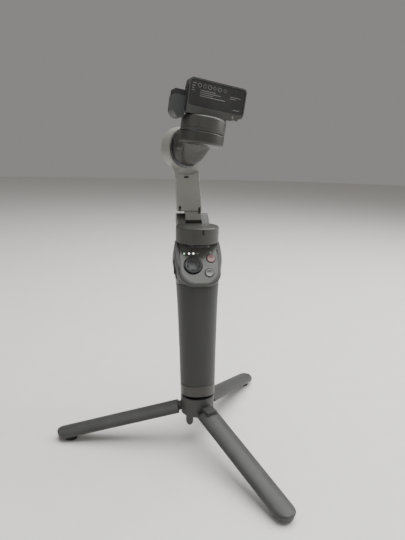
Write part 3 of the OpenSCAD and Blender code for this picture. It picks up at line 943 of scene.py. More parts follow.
    def leg_ring(self, x: float, half_w: float, arch: float, low: float, inset: float,
                 drop: float) -> list[Vector]:
        """Returns one cross-section: an arched top, leaning sides and a flat underside.

        Args:
            x: where it lies along the leg.
            half_w: half its width.
            arch: radius of its top.
            low: height of its underside.
            inset: how far the surface is drawn in.
            drop: how far its top is lowered.

        Returns:
            The ring.
        """
        half = max(half_w - inset * 1.5, 0.1)
        points = []
        for i in range(33):
            s = -math.cos(math.pi * i / 32)
            y = half * s
            z = -self.hinge_r + math.sqrt((arch - inset) ** 2 - y * y) - 1.3 * abs(s) ** 12 - drop
            points.append(Vector((x, y, max(z, low + 0.3))))
        foot = low - (1 if inset else 0)
        for y in (half * 0.93, half * 0.87, -half * 0.87, -half * 0.93):
            points.append(Vector((x, y, foot + (0.35 if abs(y) > half * 0.9 else 0))))
        return points

    def foot(self, i: int) -> None:
        """Makes one rubber foot, with two grooves round it.

        Args:
            i: number of the leg, from 1.
        """
        name = f"foot_{i}"
        low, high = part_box(name)
        leg = self.places.leg(i)
        centre = leg.matrix.inverted() @ ((low + high) / 2)
        at = leg.moved(centre.x, 0, 0)
        stem = [(0, -9.5), (5.0, -9.5), (5.6, -8.6), (5.6, -4.4), (5.25, -4.1), (5.6, -3.8), (5.6, -3.2),
                (5.25, -2.9), (5.6, -2.6), (5.6, -1.45), (0, -1.45)]
        pad = Solid.lathe(name, stem, at, 64)
        pad.cut(Solid.block("table", (-200, -200, -30), (200, 200, 0.0), self.places.stand))
        pad.soften(0.3)
        pad.finish(name.replace("foot", "leg"), Palette.FOOT, (name,))


# ---------------------------------------------------------------- handle


@dataclass
class Handle:
    """The handle's casings, from the base cap to the collar under the pan motor."""

    places: Places
    split: float = 10.5
    shoulder: float = 104.1
    top_z: float = 187.2
    stations: list[tuple[float, ...]] = field(default_factory=lambda: [
        (-3.5, 15.7, 16.2, 16.2, 2.34), (10.6, 16.0, 16.6, 16.6, 2.34), (55, 17.2, 18.0, 18.0, 2.4),
        (104, 19.4, 19.9, 20.1, 2.5), (123, 22.4, 21.4, 21.9, 2.45), (134, 21.6, 20.8, 21.5, 2.3),
        (145, 19.5, 19.4, 20.4, 2.15)])

    def build(self) -> None:
        """Makes the casings, the panel and the collar."""
        self.base_cap()
        self.sleeve()
        self.upper_shells()
        self.panel()
        self.collar()

    def body(self, name: str, low: float, high: float, edge: float) -> Solid:
        """Lofts a stretch of the handle's outer form.

        Args:
            name: name of the piece.
            low: where it starts, along the grip.
            high: where it ends.
            edge: radius of its ends.

        Returns:
            The solid.
        """
        rings = []
        for height, inset in rows(low, high, 2.2, edge):
            w, front, back, power = smooth(self.stations, height)
            outline = superellipse(w - inset, front - inset, back - inset, power)
            rings.append([Vector((x, y, height)) for x, y in outline])
        return Solid.loft(name, rings, self.places.grip)

    def core(self, half_w: float, low: float, high: float, r: float, front: float, back: float) -> Solid:
        """Makes a rounded bar that hollows a casing out."""
        outline = rounded_rect(-half_w, half_w, front, back, r)
        return Solid.prism("core", outline, low, high, self.places.grip)

    def base_cap(self) -> None:
        """Makes the cap that stands on the stand, cut level below and lifted at the front."""
        cap = self.body("base_cap", -4.2, self.split, 0.5)
        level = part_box("base_cap")[0].z / MM
        cap.cut(Solid.block("level", (-40, -40, 20), (40, 40, level), self.places.stand),
                Solid.block("gap", (-30, -40, -10), (30, -4, 1), self.places.grip),
                self.core(13, 5.5, 12, 9, -13.6, 13.6),
                Solid.rod("nut", 5.36, 40, 60, self.places.stand, 48))
        cap.soften(0.35)
        cap.finish("handle", Palette.BASE, ("base_cap",))

    def sleeve(self) -> None:
        """Makes the soft sleeve over the grip."""
        sleeve = self.body("grip_sleeve", self.split + 0.12, self.shoulder - 0.1, 0.7)
        sleeve.cut(self.core(13, 0, 120, 9, -13.6, 13.6))
        sleeve.soften(0.3, 2, 50)
        sleeve.finish("handle", Palette.GRIP, ("grip_sleeve",))

    def u_plan(self, half_w: float, top: float) -> list[Point2]:
        """Returns the outline of the panel: straight sides and a round lower end.

        Args:
            half_w: half its width.
            top: where it ends, up the panel.

        Returns:
            The outline.
        """
        r, full = 14.0, 17.5
        low = full - half_w
        return (arc(half_w - r, r + low, r, -90, 0, 16) + [(half_w, top), (-half_w, top)]
                + arc(-half_w + r, r + low, r, 180, 270, 16))

    def upper_shells(self) -> None:
        """Makes the two halves of the upper casing, with a proud lip round the panel."""
        panel = self.places.panel
        shell = self.body("shell", self.shoulder, 145, 0.6)
        shell.cut(Solid.block("slope", (-40, -20, 0), (40, 90, 60), panel))
        lip = [(-8.0, 1.2), (-3.4, 2.3), (-2.0, 2.35), (-1.1, 2.0), (-0.4, 1.3), (-0.05, 0.7)]
        rings = [[Vector((x, y, depth)) for x, y in self.u_plan(17.0 + out, 41)] for depth, out in lip]
        shell.add(Solid.loft("lip", rings, panel))
        shell.cut(
            Solid.block("top", (-40, -40, self.top_z), (40, 80, self.top_z + 40), self.places.stand),
            Solid.prism("recess", self.u_plan(16.95, 60), -2.2, 20, panel),
            Solid.prism("window", self.u_plan(16.0, 60), -20, 5, panel),
            self.core(15.5, 90, 118, 12, -16.4, 16.4),
            self.core(18.4, 117.9, 134.5, 14, -16.6, 18.2),
            Solid.rod("seat", 13.0, 180.3, 210, self.places.pan))
        for name, keep, start in (("upper_front_shell", -1, 0.0), ("upper_rear_shell", 1, -0.04)):
            half = Solid(name, [], [], self.places.grip)
            half.obj.data = shell.obj.data.copy()
            far = Solid.block("half", (-60, start if keep < 0 else start - 80, 80),
                              (60, start + 80 if keep < 0 else start, 220), self.places.grip)
            half.cut(far)
            if keep < 0:
                half.cut(Solid.block("slit", (-26, -7.4, 108.6), (-15, -2.6, 125.8), self.places.grip))
            else:
                half.cut(Solid.block("trigger_bay", (-7.4, 12, 102), (7.4, 40, 127), self.places.grip),
                         Solid.rod("pin", 1.02, -8.4, 8.4, self.places.trigger.z_along("X"), 32))
                half.cut(Solid.prism("port", rounded_rect(-1.7, 1.7, -4.7, 4.7, 1.69), 10, 30,
                                     self.places.grip.moved(0, 6, 112).z_along("X")))
            half.soften(0.3, 3, 38)
            half.finish("handle", Palette.SHELL, (name,))
        bpy.data.objects.remove(shell.obj)

    def panel(self) -> None:
        """Makes the control panel, bored for the stick, the buttons and the lights."""
        at = self.places.panel
        plate = Solid.prism("control_panel", self.u_plan(16.8, 44), -2.1, 0, at)
        plate.cut(Solid.block("top", (-40, -40, 187.1), (40, 80, 220), self.places.stand))
        for x, y, r in Controls.HOLES:
            flare = [(0, -5), (r, -5), (r, -0.2), (r + 0.25, 0.05), (r + 0.9, 1), (0, 1)]
            plate.cut(Solid.lathe("hole", flare, at.moved(x, y, 0), 64))
        plate.soften(0.28, 3, 38)
        plate.finish("handle", Palette.PANEL, ("control_panel",))

    def collar(self) -> None:
        """Makes the seat of the pan motor and the dark collar, whose stop shows at the front."""
        at = self.places.pan
        low, high = (z / MM for z in (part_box("pan_collar")[0].z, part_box("pan_collar")[1].z))
        ring = Solid.lathe("pan_collar", rim_profile(8.5, 12.4, low, high, 0.6), at)
        stop = rounded_rect(-4.2, 8.6, -18.2, -8.9, 3.4)
        ring.add(Solid.prism("stop", stop, high - 2.2, high, at))
        ring.soften(0.5)
        ring.finish("handle", Palette.BLACK, ("pan_collar",))
        mount = Solid.lathe("pan_mount", rim_profile(4.6, 12.6, low - 6.2, low - 0.1, 0.5), at)
        mount.cut(Solid.block("slope", (-40, 0, -2.4), (40, 90, 60), self.places.panel))
        mount.smooth_shading()
        mount.finish("handle", Palette.FRAME, ("pan_mount",))


@dataclass
class Controls:
    """What the fingers work: the stick, the buttons, the slider, the trigger, and the lights."""

    places: Places
    HOLES = ((-5.9, 17.6, 8.45), (10.9, 24.3, 4.25), (8.2, 10.2, 4.25), (-13, 29.6, 0.76),
             (-8.6, 29.6, 0.76), (-4.7, 29.6, 0.76), (-0.8, 29.6, 0.76), (10.9, 30.4, 0.76))

    def build(self) -> None:
        """Makes every control."""
        self.stick()
        self.button("shutter_button", self.HOLES[1], Palette.SHUTTER)
        self.button("mode_button", self.HOLES[2], Palette.MODE)
        self.lights()
        self.slider()
        self.trigger()

    def stick(self) -> None:
        """Makes the dished joystick with a knurled rim and four chevrons, and its boot."""
        at = self.places.stick
        profile = [(0, -1.4), (1.6, -1.4), (1.6, 3.6), (6.4, 3.7), (7.3, 4.2, 0.1), (7.65, 4.9, 0.16),
                   (7.7, 5.6, 0.16), (7.35, 6.15, 0.08), (6.8, 6.3), (6.2, 6.0), (5.4, 5.4), (4.0, 4.95),
                   (2.6, 4.65), (1.2, 4.52), (0, 4.5)]
        cap = Solid.lathe("joystick_cap", profile, at, 144)
        for k in range(4):
            turned = at.turned(90 * k, "Z")
            for side in (-1, 1):
                wing = turned.moved(0, 4.9, 4.4).turned(side * 38, "Z")
                bar = rounded_rect(-0.3 if side < 0 else -1.9, 1.9 if side < 0 else 0.3, -0.36, 0.36, 0.3, 4)
                cap.add(Solid.prism("chevron", bar, 0, 1.6, wing))
        cap.add(Solid.lathe("axle", rim_profile(0, 0.45, -4.2, 4.2, 0.1, 6), at.z_along("-Y"), 24))
        cap.smooth_shading(38).finish("joystick_cap", Palette.STICK, ("joystick_cap",))
        boot = Solid.lathe("joystick_boot", [(3.4, 3.0), (8.3, 2.8), (8.3, 2.2), (5.6, 2.1), (3.4, 2.4)], at)
        boot.smooth_shading().finish("handle", Palette.BLACK)

    def button(self, name: str, hole: tuple[float, float, float], finish: Finish) -> None:
        """Makes a round button with a dished top, and the seal round it.

        Args:
            name: name of the button.
            hole: place and radius of its hole in the panel.
            finish: its finish.
        """
        at = self.places.panel.moved(hole[0], hole[1], 0)
        r, top = 3.8, 0.7
        profile = [(0, -5.1), (1.4, -5.1), (1.4, -3), (r - 0.1, -3), (r, -2.9), (r, top - 0.5)]
        profile += arc(r - 0.5, top - 0.5, 0.5, 0, 90, 6)
        profile += [(2.6, top - 0.04), (1.3, top - 0.2), (0, top - 0.26)]
        Solid.lathe(name, profile, at, 72).smooth_shading().finish(name, finish, (name,))
        seal = rim_profile(3.92, 4.22, -2.4, -0.28, 0.1)
        Solid.lathe(f"{name}_seal", seal, at, 72).smooth_shading().finish("handle", Palette.BLACK)

    def lights(self) -> None:
        """Makes the status lights, domed and lit from behind."""
        lit = (Palette.GREEN, Palette.WHITE, Palette.WHITE, Palette.DIM, Palette.DIM)
        for k, (hole, finish) in enumerate(zip(self.HOLES[3:], lit)):
            at = self.places.panel.moved(hole[0], hole[1], 0)
            dome = [(0, -2.1), (0.72, -2.1), (0.72, -0.05), (0.6, 0.06), (0.35, 0.13), (0, 0.15)]
            lens = Solid.lathe(f"status_light_{k + 1}", dome, at, 32).smooth_shading()
            lens.finish("handle", finish, ("status_lights",))

    def slider(self) -> None:
        """Makes the zoom slider, ribbed for the thumb."""
        at = self.places.grip
        side = rounded_rect(-6.9, -3.1, 113.0, 121.4, 1.2)
        knob = Solid.prism("zoom_slider", side, 0, 4.6, at.moved(-17.6, 0, 0).across(-1))
        for k in range(5):
            z = 114.4 + 1.4 * k
            groove = at.moved(-22.4, -8, z).turned(-90, "X")
            knob.cut(Solid.rod("groove", 0.42, 0, 6, groove, 24))
        knob.add(Solid.block("stem", (-17.7, -7.0, 114.2), (-15.3, -3.0, 120.2), at))
        knob.soften(0.3)
        knob.finish("zoom_slider", Palette.BLACK, ("zoom_slider",))

    def trigger(self) -> None:
        """Makes the trigger: a lever with a hollow for the finger and a rolled tip."""
        at = self.places.trigger.z_along("X")
        outer = arc(0, 0, 2.6, 90, 270, 16)
        face = [(z, 4.0 - 1.5 * math.sin(math.pi * z / 17.5)) for z in (3, 6, 9, 12, 15)]
        tip = arc(18.6, 3.8, 1.6, -60, 100, 10)
        back = [(16.5, 1.0), (16.5, -1.8), (14, -1.8), (12.5, -0.6), (4, -0.9)]
        outline = outer[::-1] + face + tip[::-1] + back
        lever = Solid.prism("trigger", outline, -6.9, 6.9, at)
        lever.cut(Solid.rod("bore", 1.06, -10, 10, at, 32))
        lever.soften(0.55, 3, 45)
        lever.finish("trigger", Palette.BLACK, ("trigger",))


# ---------------------------------------------------------------- arms


@dataclass
class Arms:
    """The pan motor's housing, the long arm and the roll arm."""

    places: Places
    motor_r: float = 19.6
    roll_r: float = 19.0
    hollow_r: float = 17.4
    pin_hole_r: float = 1.6
    knuckle_hole_r: float = 1.66
    ear_play: float = 0.8
    ears: tuple[float, float, float, float] = (-16.6, -9.3, 6.1, 13.2)
    ear_r: float = 5.4
    knuckle: tuple[float, float] = (-9.0, 5.8)
    knuckle_r: float = 4.3
    plan: tuple[Point2, ...] = ((-16.4, 7), (6.4, 7), (5.9, 16), (5.2, 26), (4.3, 36), (4, 44), (4.1, 54),
                                (4.5, 65), (-24, 65), (-23.6, 58), (-22.6, 52), (-20.6, 45.5), (-18.4, 40),
                                (-17.4, 33), (-17.1, 24), (-16.8, 15))

    def build(self) -> None:
        """Makes the three arms and their covers."""
        self.pan_housing()
        self.long_arm()
        self.arm_cover()
        self.roll_cap()
        self.roll_arm()

    def fold_at(self) -> Place:
        """Returns the folding hinge's frame, along the object's own axes."""
        fold = joint_at("arm_fold")
        return Place.of(Vector((0, fold.y, fold.z)), Vector((1, 0, 0)), Vector((0, 1, 0)))

    def pan_housing(self) -> None:
        """Makes the pan motor's housing, with the ears that the long arm folds between."""
        low, top = 187.5, 202.0
        at, fold = self.places.pan, self.fold_at()
        profile = ([(0, low)] + arc(self.motor_r - 0.7, low + 0.7, 0.7, -90, 0, 5)
                   + arc(self.motor_r - 1.4, top - 1.4, 1.4, 0, 90, 8) + [(0, top)])
        body = Solid.lathe("pan_housing", profile, at, 144)
        left, right = self.ears[0], self.ears[3]
        outline = rounded_rect(left, right, -22.6, 0.6, 2.0)
        body.add(Solid.prism("bridge", outline, -14.8, -6.3, fold))
        for u0, u1 in (self.ears[:2], self.ears[2:]):
            side = [(-12, -11.8), (1.5, -11.8), (1.5, -5)]
            side += arc(0, 0, self.ear_r, -74, 128, 24) + [(-12, -2.9)]
            ear = Solid.prism("ear", side, 0, u1 - u0, fold.moved(u0, 0, 0).across())
            body.add(ear)
        body.cut(
            Solid.rod("hollow", self.hollow_r, low - 1, top - 1, at),
            Solid.rod("pin", self.pin_hole_r, left + 1, right - 1, fold.across(), 48),
            Solid.rod("gap", 5.6, self.knuckle[0] - 0.3, self.knuckle[1] + 0.3, fold.across()))
        slot = at.turned(-83.6, "Z").moved(self.motor_r - 1.3, 0, 0)
        body.cut(Solid.prism("notch", rounded_rect(0, 4, -0.7, 0.7, 0.65, 4), 196.6, 200.9, slot))
        body.soften(0.7, 4, 34)
        body.finish("pan_stage", Palette.MOTOR, ("pan_housing",))

    def slab(self, name: str, front: float, back: float, inset: float, low: float, high: float) -> Solid:
        """Makes a slice of the long arm's outline, between two depths and two heights.

        Args:
            name: name of the piece.
            front: its front face.
            back: its back face.
            inset: how far its sides are drawn in.
            low: its lower end.
            high: its upper end.

        Returns:
            The slice.
        """
        middle = -6.0
        plan = [(x + (inset if x < middle else -inset), z) for x, z in self.plan]
        slab = Solid.prism(name, plan, -back, -front, self.places.arm.z_along("-Y"))
        return slab.keep(Solid.block("between", (-60, -30, low), (60, 30, high), self.places.arm))

    def long_arm(self) -> None:
        """Makes the long arm, flowing into the roll motor's cup, with its wiring channel."""
        arm, roll = self.places.arm, self.places.roll
        out = roll.z_along("-Y")
        body = self.slab("long_arm", -9, 0, 0, 0, 66)
        body.add(Solid.rod("cup", self.roll_r, -9, 6, out, 144))
        body.blend(0.55, 5)
        knuckle = arm.across()
        body.add(Solid.rod("knuckle", self.knuckle_r, *self.knuckle, knuckle),
                 Solid.block("neck", (self.knuckle[0], -8, -1), (self.knuckle[1], -0.1, 8), arm))
        body.cut(
            Solid.rod("pin", self.knuckle_hole_r, -20, 20, knuckle, 48),
            self.slab("cover_seat", -1.6, 1, 1.6, 9, 46.6),
            self.slab("wiring", -7.4, -1.4, 3, 10.6, 34),
            Solid.rod("motor", self.hollow_r, -6, 8, out), Solid.rod("cap_seat", 17.6, -20, -7.6, out),
            Solid.rod("hub", 5, -8, -5, out), Solid.rod("front", 24, 6, 40, out),
            Solid.block("left_notch", (-15.4, -12, 5), (-12.9, -4.5, 11.6), arm),
            Solid.block("right_notch", (2.9, -12, 5), (4.9, -4.5, 10.6), arm))
        fold = self.fold_at().across()
        room = self.ear_r + self.ear_play
        body.cut(Solid.rod("left_ear", room, self.ears[0] - 3, self.knuckle[0] - 0.02, fold),
                 Solid.rod("right_ear", room, self.knuckle[1] + 0.02, self.ears[3] + 3, fold))
        face = arm.z_along("-Y")
        body.cut(Solid.prism("hole", rounded_rect(-10.4, -5.8, 37.3, 39.3, 0.99), 7.6, 12, face))
        body.smooth_shading(42)
        body.finish("long_arm", Palette.ARM, ("long_arm",))
        seal = Solid.prism("arm_seal", rounded_rect(-10.35, -5.85, 37.35, 39.25, 0.94), 7.6, 8.35, face)
        seal.smooth_shading().finish("long_arm", Palette.BLACK)

    def arm_cover(self) -> None:
        """Makes the cover over the long arm's wiring."""
        cover = self.slab("arm_cover", -1.5, -0.1, 1.8, 9.2, 46.4)
        cover.soften(0.35)
        cover.finish("long_arm", Palette.ARM, ("arm_cover",))

    def roll_cap(self) -> None:
        """Makes the roll motor's back cap, with a shallow dished face."""
        back = self.places.roll.z_along("-Y")
        profile = [(0, -6.2), (4.9, -6.2), (4.9, -7.6), (17.4, -7.6)] + arc(16.6, -8.7, 0.9, 0, -90, 6)
        profile += [(13.6, -9.6), (13.2, -9.35), (12.8, -9.3), (6, -9.25), (0, -9.2)]
        cap = Solid.lathe("roll_cap", profile, back, 128)
        cap.smooth_shading(34).finish("long_arm", Palette.ARM, ("roll_cap",))

    def elbow_rings(self) -> list[list[Vector]]:
        """Returns the rings that carry the roll boss over into the tilt motor's cup.

        Returns:
            The rings.
        """
        stations = [(Vector((0, -7.2, 0)), 15.3, 15.3, 0), (Vector((0, -8.0, 0)), 16.0, 16.0, 0),
                    (Vector((0.2, -12.5, 0)), 16.0, 16.0, 2), (Vector((0.6, -17.5, 1.2)), 15.8, 14.6, 10),
                    (Vector((0.8, -22.5, 3.2)), 15.6, 12.6, 26), (Vector((0.6, -27, 5.4)), 15.8, 11.4, 42)]
        rings = []
        for centre, half_w, half_d, lean in stations:
            t = math.radians(lean)
            up = Vector((0, -math.sin(t), math.cos(t)))
            rings.append([centre + Vector((1, 0, 0)) * half_w * math.cos(a) + up * half_d * math.sin(a)
                          for a in (2 * math.pi * i / ROUND for i in range(ROUND))])
        return rings

    def roll_arm(self) -> None:
        """Makes the roll arm: a boss that swells and turns up into the tilt motor's cup."""
        roll, tilt = self.places.roll, self.places.tilt
        body = Solid.loft("roll_arm", self.elbow_rings(), roll)
        cup = [(0, -11.4)] + arc(self.motor_r - 2.2, -9.2, 2.2, -90, 0, 8)
        cup += [(self.motor_r, -1.4), (0, -1.4)]
        body.add(Solid.lathe("cup", cup, tilt, 144))
        neck = [(-16, 0), (-16, 12), (-12, 15.5), (12, 12.6), (16.4, 6), (16, 0)]
        body.add(Solid.prism("neck", neck, 9, 20.5, roll.z_along("-Y")))
        body.blend(0.55, 8)
        body.cut(Solid.block("face", (-40, -7.2, -40), (40, 20, 40), roll),
                 Solid.rod("level", 60, -1.4, 60, tilt), Solid.rod("motor", 17.6, -9.4, 40, tilt, 144),
                 Solid.rod("shaft", 2.6, 0, 14, roll.z_along("-Y"), 48))
        body.smooth_shading(42)
        # The roll arm takes the darkened copy of the motor plastic, painted shade.
        body.finish("roll_stage", Palette.SHADED_ELBOW, ("roll_arm",))


# ---------------------------------------------------------------- clamp


@dataclass
class Clamp:
    """The tilt motor's cap and the spring clamp that holds the phone."""

    places: Places
    motor_r: float = 19.6
    x: tuple[float, float] = (-21.0, 31.0)
    y: tuple[float, float] = (-11.6, -1.6)
    z: tuple[float, float] = (12.0, 40.5)
    jaw_x: float = 24.5
    rod_y: float = -6.2
    rod_z: tuple[float, float] = (20.4, 31.6)

    def build(self) -> None:
        """Makes every piece of the tilt stage and the sliding jaw."""
        self.tilt_cap()
        self.housing()
        self.label()
        self.spring()
        self.fixed_pad()
        self.jaw()
        self.jaw_pad()

    def tilt_cap(self) -> None:
        """Makes the tilt motor's cap, with a rolled rim and a fine parting groove."""
        top = 11.95
        profile = [(17.3, -0.9)] + arc(19.2, -0.5, 0.4, -90, 0, 4) + [(19.6, 1.1), (19.38, 1.3), (19.6, 1.5)]
        profile += arc(self.motor_r - 2.4, top - 2.4, 2.4, 0, 90, 10) + [(0, top), (0, 8.9)]
        profile = [(0, 7.9), (17.3, 7.9)] + profile[:-1]
        cap = Solid.lathe("tilt_cap", profile, self.places.tilt, 144)
        cap.smooth_shading(34).finish("tilt_stage", Palette.MOTOR, ("tilt_cap",))

    def housing(self) -> None:
        """Makes the clamp's housing: a recess for the label, a slot for the jaw, the fixed jaw."""
        at = self.places.tilt
        face = at.z_along("-Y")
        (x0, x1), (y0, y1), (z0, z1) = self.x, self.y, self.z
        outline = (arc(x0 + 3.4, z0 + 3.4, 3.4, 180, 270, 8) + [(19, z0), (x1 - 1.6, 15.6)]
                   + arc(x1 - 2.4, 19, 2.4, -35, 0, 5) + arc(x1 - 3.4, z1 - 3.4, 3.4, 0, 90, 8)
                   + arc(x0 + 3.4, z1 - 3.4, 3.4, 90, 180, 8))
        body = Solid.prism("clamp_housing", outline, -y1, -y0, face)
        jaw = rounded_rect(self.jaw_x, x1 - 0.5, y1 - 2, 8.9, 1.6, 6)
        body.add(Solid.prism("fixed_jaw", jaw, z0 + 2.4, z1 - 2, at))
        recess = rounded_rect(x0 + 1.0, x1 - 1.0, z0 + 6.4, z1 - 1.4, 2.6)
        body.cut(Solid.prism("recess", recess, -y0 - 0.7, -y0 + 3, face),
                 Solid.block("slot", (x0 - 2, y0 + 2.6, z0 + 5), (x1 - 2, y0 + 8.2, z0 + 23), at),
                 Solid.block("seat", (self.jaw_x - 1.2, y1 - 0.5, z0 + 3), (self.jaw_x, 4, z1 - 3), at))
        body.cut(Solid.lathe("sink", [(0, -1), (1.15, -1), (1.15, 0.2), (1.5, 0.55), (0, 0.55)],
                             face.moved(21.6, 15.4, -y0 - 0.5), 48))
        body.soften(0.75, 4, 34)
        body.finish("tilt_stage", Palette.CLAMP, ("clamp_housing",))
        head = [(0, -1), (0.5, -1), (0.55, -0.55), (1.05, -0.5), (1.08, -0.35), (0, -0.32)]
        screw = Solid.lathe("clamp_screw", head, face.moved(21.6, 15.4, -y0 - 0.1), 32)
        screw.smooth_shading().finish("tilt_stage", Palette.STEEL)

    def label(self) -> None:
        """Makes the dark plate on the clamp, printed with plain blank bars."""
        face = self.places.tilt.z_along("-Y")
        (x0, x1), (y0, _), (z0, z1) = self.x, self.y, self.z
        outline = rounded_rect(x0 + 1.2, x1 - 1.2, z0 + 6.6, z1 - 1.6, 2.4)
        plate = Solid.prism("clamp_back_plate", outline, -y0 - 0.65, -y0 - 0.25, face)
        plate.soften(0.12, 2)
        plate.finish("tilt_stage", Palette.LABEL, ("clamp_back_plate",))
        bars = [(-18.6, -15, 36.2), (-18.6, -16, 34), (-18.6, -16.4, 32.2), (-18.6, -16, 30.4),
                (-11, 3, 31.4), (-11, 8, 29.9), (-11, 1, 28.4), (-11, 12, 26.9),
                (16, 26, 31.4), (16, 22, 29.9), (20, 26.5, 21.4)]
        under, proud, half_h = -0.26, -0.2, 0.26
        for k, (left, right, z) in enumerate(bars):
            outline = rounded_rect(left, right, z - half_h, z + half_h, 0.25, 4)
            bar = Solid.prism(f"label_bar_{k + 1}", outline, under - y0, proud - y0, face)
            bar.smooth_shading(30).finish("tilt_stage", Palette.PRINT)
        for k, x in enumerate((-12, -7.6, -3, 1.4, 6, 11)):
            outline = [(1.35, under), (1.7, under), (1.7, proud), (1.35, proud)]
            ring = Solid.lathe(f"label_ring_{k + 1}", outline, face.moved(x, 35, -y0), 4 if k % 2 else 48)
            ring.smooth_shading(30).finish("tilt_stage", Palette.PRINT)

    def spring(self) -> None:
        """Makes the clamp's coil spring between its rods."""
        start, pitch, coil, wire = 8.0, 2.6, 1.7, 0.4
        turns, steps, sides = 7, 32, 12
        middle = sum(self.rod_z) / 2
        rings = []
        for k in range(turns * steps + 1):
            a = 2 * math.pi * k / steps
            centre = Vector((start + pitch * k / steps, self.rod_y + coil * math.cos(a),
                             middle + coil * math.sin(a)))
            out = Vector((0, math.cos(a), math.sin(a)))
            along = Vector((pitch / (2 * math.pi), -coil * math.sin(a), coil * math.cos(a))).normalized()
            side = along.cross(out)
            rings.append([centre + (out * math.cos(b) + side * math.sin(b)) * wire
                          for b in (2 * math.pi * i / sides for i in range(sides))])
        wound = Solid.loft("clamp_spring", rings, self.places.tilt)
        wound.smooth_shading().finish("tilt_stage", Palette.STEEL, ("clamp_spring",))

    def ribbed(self, name: str, low: tuple, high: tuple, body: str, teeth: int) -> None:
        """Makes a rubber pad with grooves along its gripping side.

        Args:
            name: name of the pad.
            low: its lowest corner.
            high: its highest corner.
            body: the body that it moves with.
            teeth: number of ribs.
        """
        at = self.places.tilt
        pad = Solid.prism(name, rounded_rect(low[0], high[0], low[1], high[1], 0.35, 4), low[2], high[2], at)
        step = (high[1] - low[1]) / teeth
        for k in range(1, teeth):
            y = low[1] + step * k
            if high[2] - low[2] < 6:
                groove = at.moved(low[0] - 1, y, high[2] + 0.2).across()
                pad.cut(Solid.rod("groove", 0.5, 0, high[0] - low[0] + 2, groove, 20))
            else:
                pad.cut(Solid.rod("groove", 0.34, low[2] - 1, high[2] + 1, at.moved(low[0] - 0.1, y, 0), 20))
        pad.soften(0.25, 3)
        pad.finish(body, Palette.PAD, (name,))

    def fixed_pad(self) -> None:
        """Makes the fixed jaw's pad."""
        self.ribbed("fixed_jaw_pad", (23.35, -2.05, 15), (24.5, 8.4, 37.5), "tilt_stage", 7)

    def jaw_pad(self) -> None:
        """Makes the rubber block on the sliding jaw."""
        self.ribbed("jaw_pad", (-31.5, -8.8, 25.1), (-22.1, 5.2, 29.3), "sliding_jaw", 7)

    def jaw(self) -> None:
        """Makes the sliding jaw and the carriage that runs on the rods."""
        at = self.places.tilt
        face = at.z_along("-Y")
        outline = ([(-31.5, 13.5), (-31.1, 11.6), (-28.4, 8.1), (-27, 7.4)] + arc(-23.2, 9.2, 1.8, -90, 0, 6)
                   + [(-21.4, 25), (-31.5, 25)])
        body = Solid.prism("sliding_jaw", outline, -7.2, 8.8, face)
        body.add(Solid.block("carriage", (-22, -8.7, 17.3), (26, -3.7, 34.7), at))
        body.cut(Solid.block("spring_bay", (-13, -9.6, 23.2), (30, -1.6, 28.8), at))
        for z in self.rod_z:
            body.cut(Solid.rod("bore", 1.25, -29, 40, at.moved(0, self.rod_y, z).across(), 48))
        body.soften(0.8, 4, 34)
        body.finish("sliding_jaw", Palette.JAW, ("sliding_jaw",))


# ---------------------------------------------------------------- studio


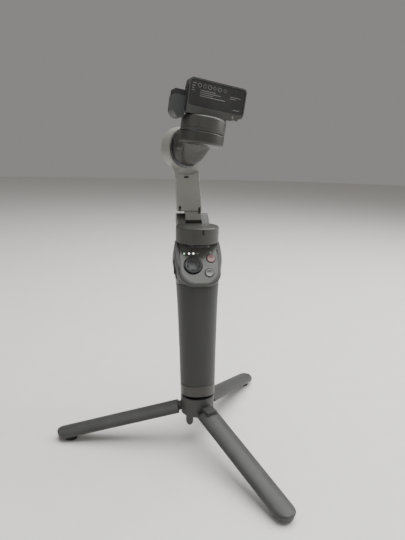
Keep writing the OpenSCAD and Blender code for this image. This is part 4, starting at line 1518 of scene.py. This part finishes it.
@dataclass
class Studio:
    """The floor, the lights and the camera."""

    lens: float = 31.33
    eye: tuple[float, float, float] = (-0.0711, -0.3949, 0.2686)
    heading: float = 10.45
    down: float = 14.35
    tip: float = 1.5
    world: Colour = (0.26, 0.25, 0.24)
    floor_half: float = 4.0
    floor_depth: float = 0.02
    sensor: float = 36.0
    nearest: float = 0.01

    def build(self) -> None:
        """Sets the whole stage."""
        self.floor()
        self.camera()
        self.sky()
        for name, size, power, at, to in (
                ("overhead", 1.5, 36.0, (0.35, 0.12, 1.35), (0, 0, 0.05)),
                ("right", 0.9, 9.0, (1.15, 0.1, 0.75), (0, 0, 0.18)),
                ("left", 1.0, 1.6, (-1.1, -0.5, 0.6), (0, 0, 0.18)),
                ("front", 0.8, 0.9, (-0.2, -1.3, 0.85), (0, 0, 0.2))):
            self.softbox(name, size, power, at, to)

    def floor(self) -> None:
        """Lays a wide pale floor."""
        outline = superellipse(self.floor_half, self.floor_half, self.floor_half, 2.6, 64)
        top = Solid.prism("floor", outline, -self.floor_depth, 0, Place(Matrix.Identity(4)))
        top.obj.data.materials.append(Palette.FLOOR.material())

    def camera(self) -> None:
        """Places the camera."""
        cam = bpy.data.objects.new("camera", bpy.data.cameras.new("camera"))
        cam.data.sensor_width, cam.data.lens, cam.data.clip_start = self.sensor, self.lens, self.nearest
        turn, down, tip = (math.radians(a) for a in (self.heading, self.down, self.tip))
        ahead = Vector((math.sin(turn) * math.cos(down), math.cos(turn) * math.cos(down), -math.sin(down)))
        right = ahead.cross(Vector((0, 0, 1))).normalized()
        up = right.cross(ahead)
        right, up = right * math.cos(tip) + up * math.sin(tip), up * math.cos(tip) - right * math.sin(tip)
        cam.matrix_world = Matrix.Translation(self.eye) @ Matrix((right, up, -ahead)).transposed().to_4x4()
        bpy.context.scene.collection.objects.link(cam)
        bpy.context.scene.camera = cam

    def sky(self) -> None:
        """Sets the even light all round."""
        world = bpy.data.worlds.new("sky")
        world.use_nodes = True
        world.node_tree.nodes["Background"].inputs["Color"].default_value = (*self.world, 1)
        bpy.context.scene.world = world

    def softbox(self, name: str, size: float, power: float, at: tuple, to: tuple) -> None:
        """Hangs a square softbox, aimed at a point.

        Args:
            name: name of the light.
            size: its width, in metres.
            power: its power, in watts.
            at: where it hangs.
            to: the point it is aimed at.
        """
        lamp = bpy.data.lights.new(name, "AREA")
        lamp.size, lamp.energy = size, power
        box = bpy.data.objects.new(name, lamp)
        box.location = at
        box.rotation_euler = (Vector(to) - Vector(at)).to_track_quat("-Z", "Y").to_euler()
        bpy.context.scene.collection.objects.link(box)


# ---------------------------------------------------------------- main


def main() -> None:
    """Builds the object from the ground up, then the studio."""
    logging.basicConfig(level=logging.INFO, format="%(message)s")
    places = Places()
    dress_nodes()
    for part in (Stand(places), Handle(places), Controls(places), Arms(places), Clamp(places), Studio()):
        LOG.info("-- %s", type(part).__name__)
        part.build()


if __name__ == "__main__":
    main()
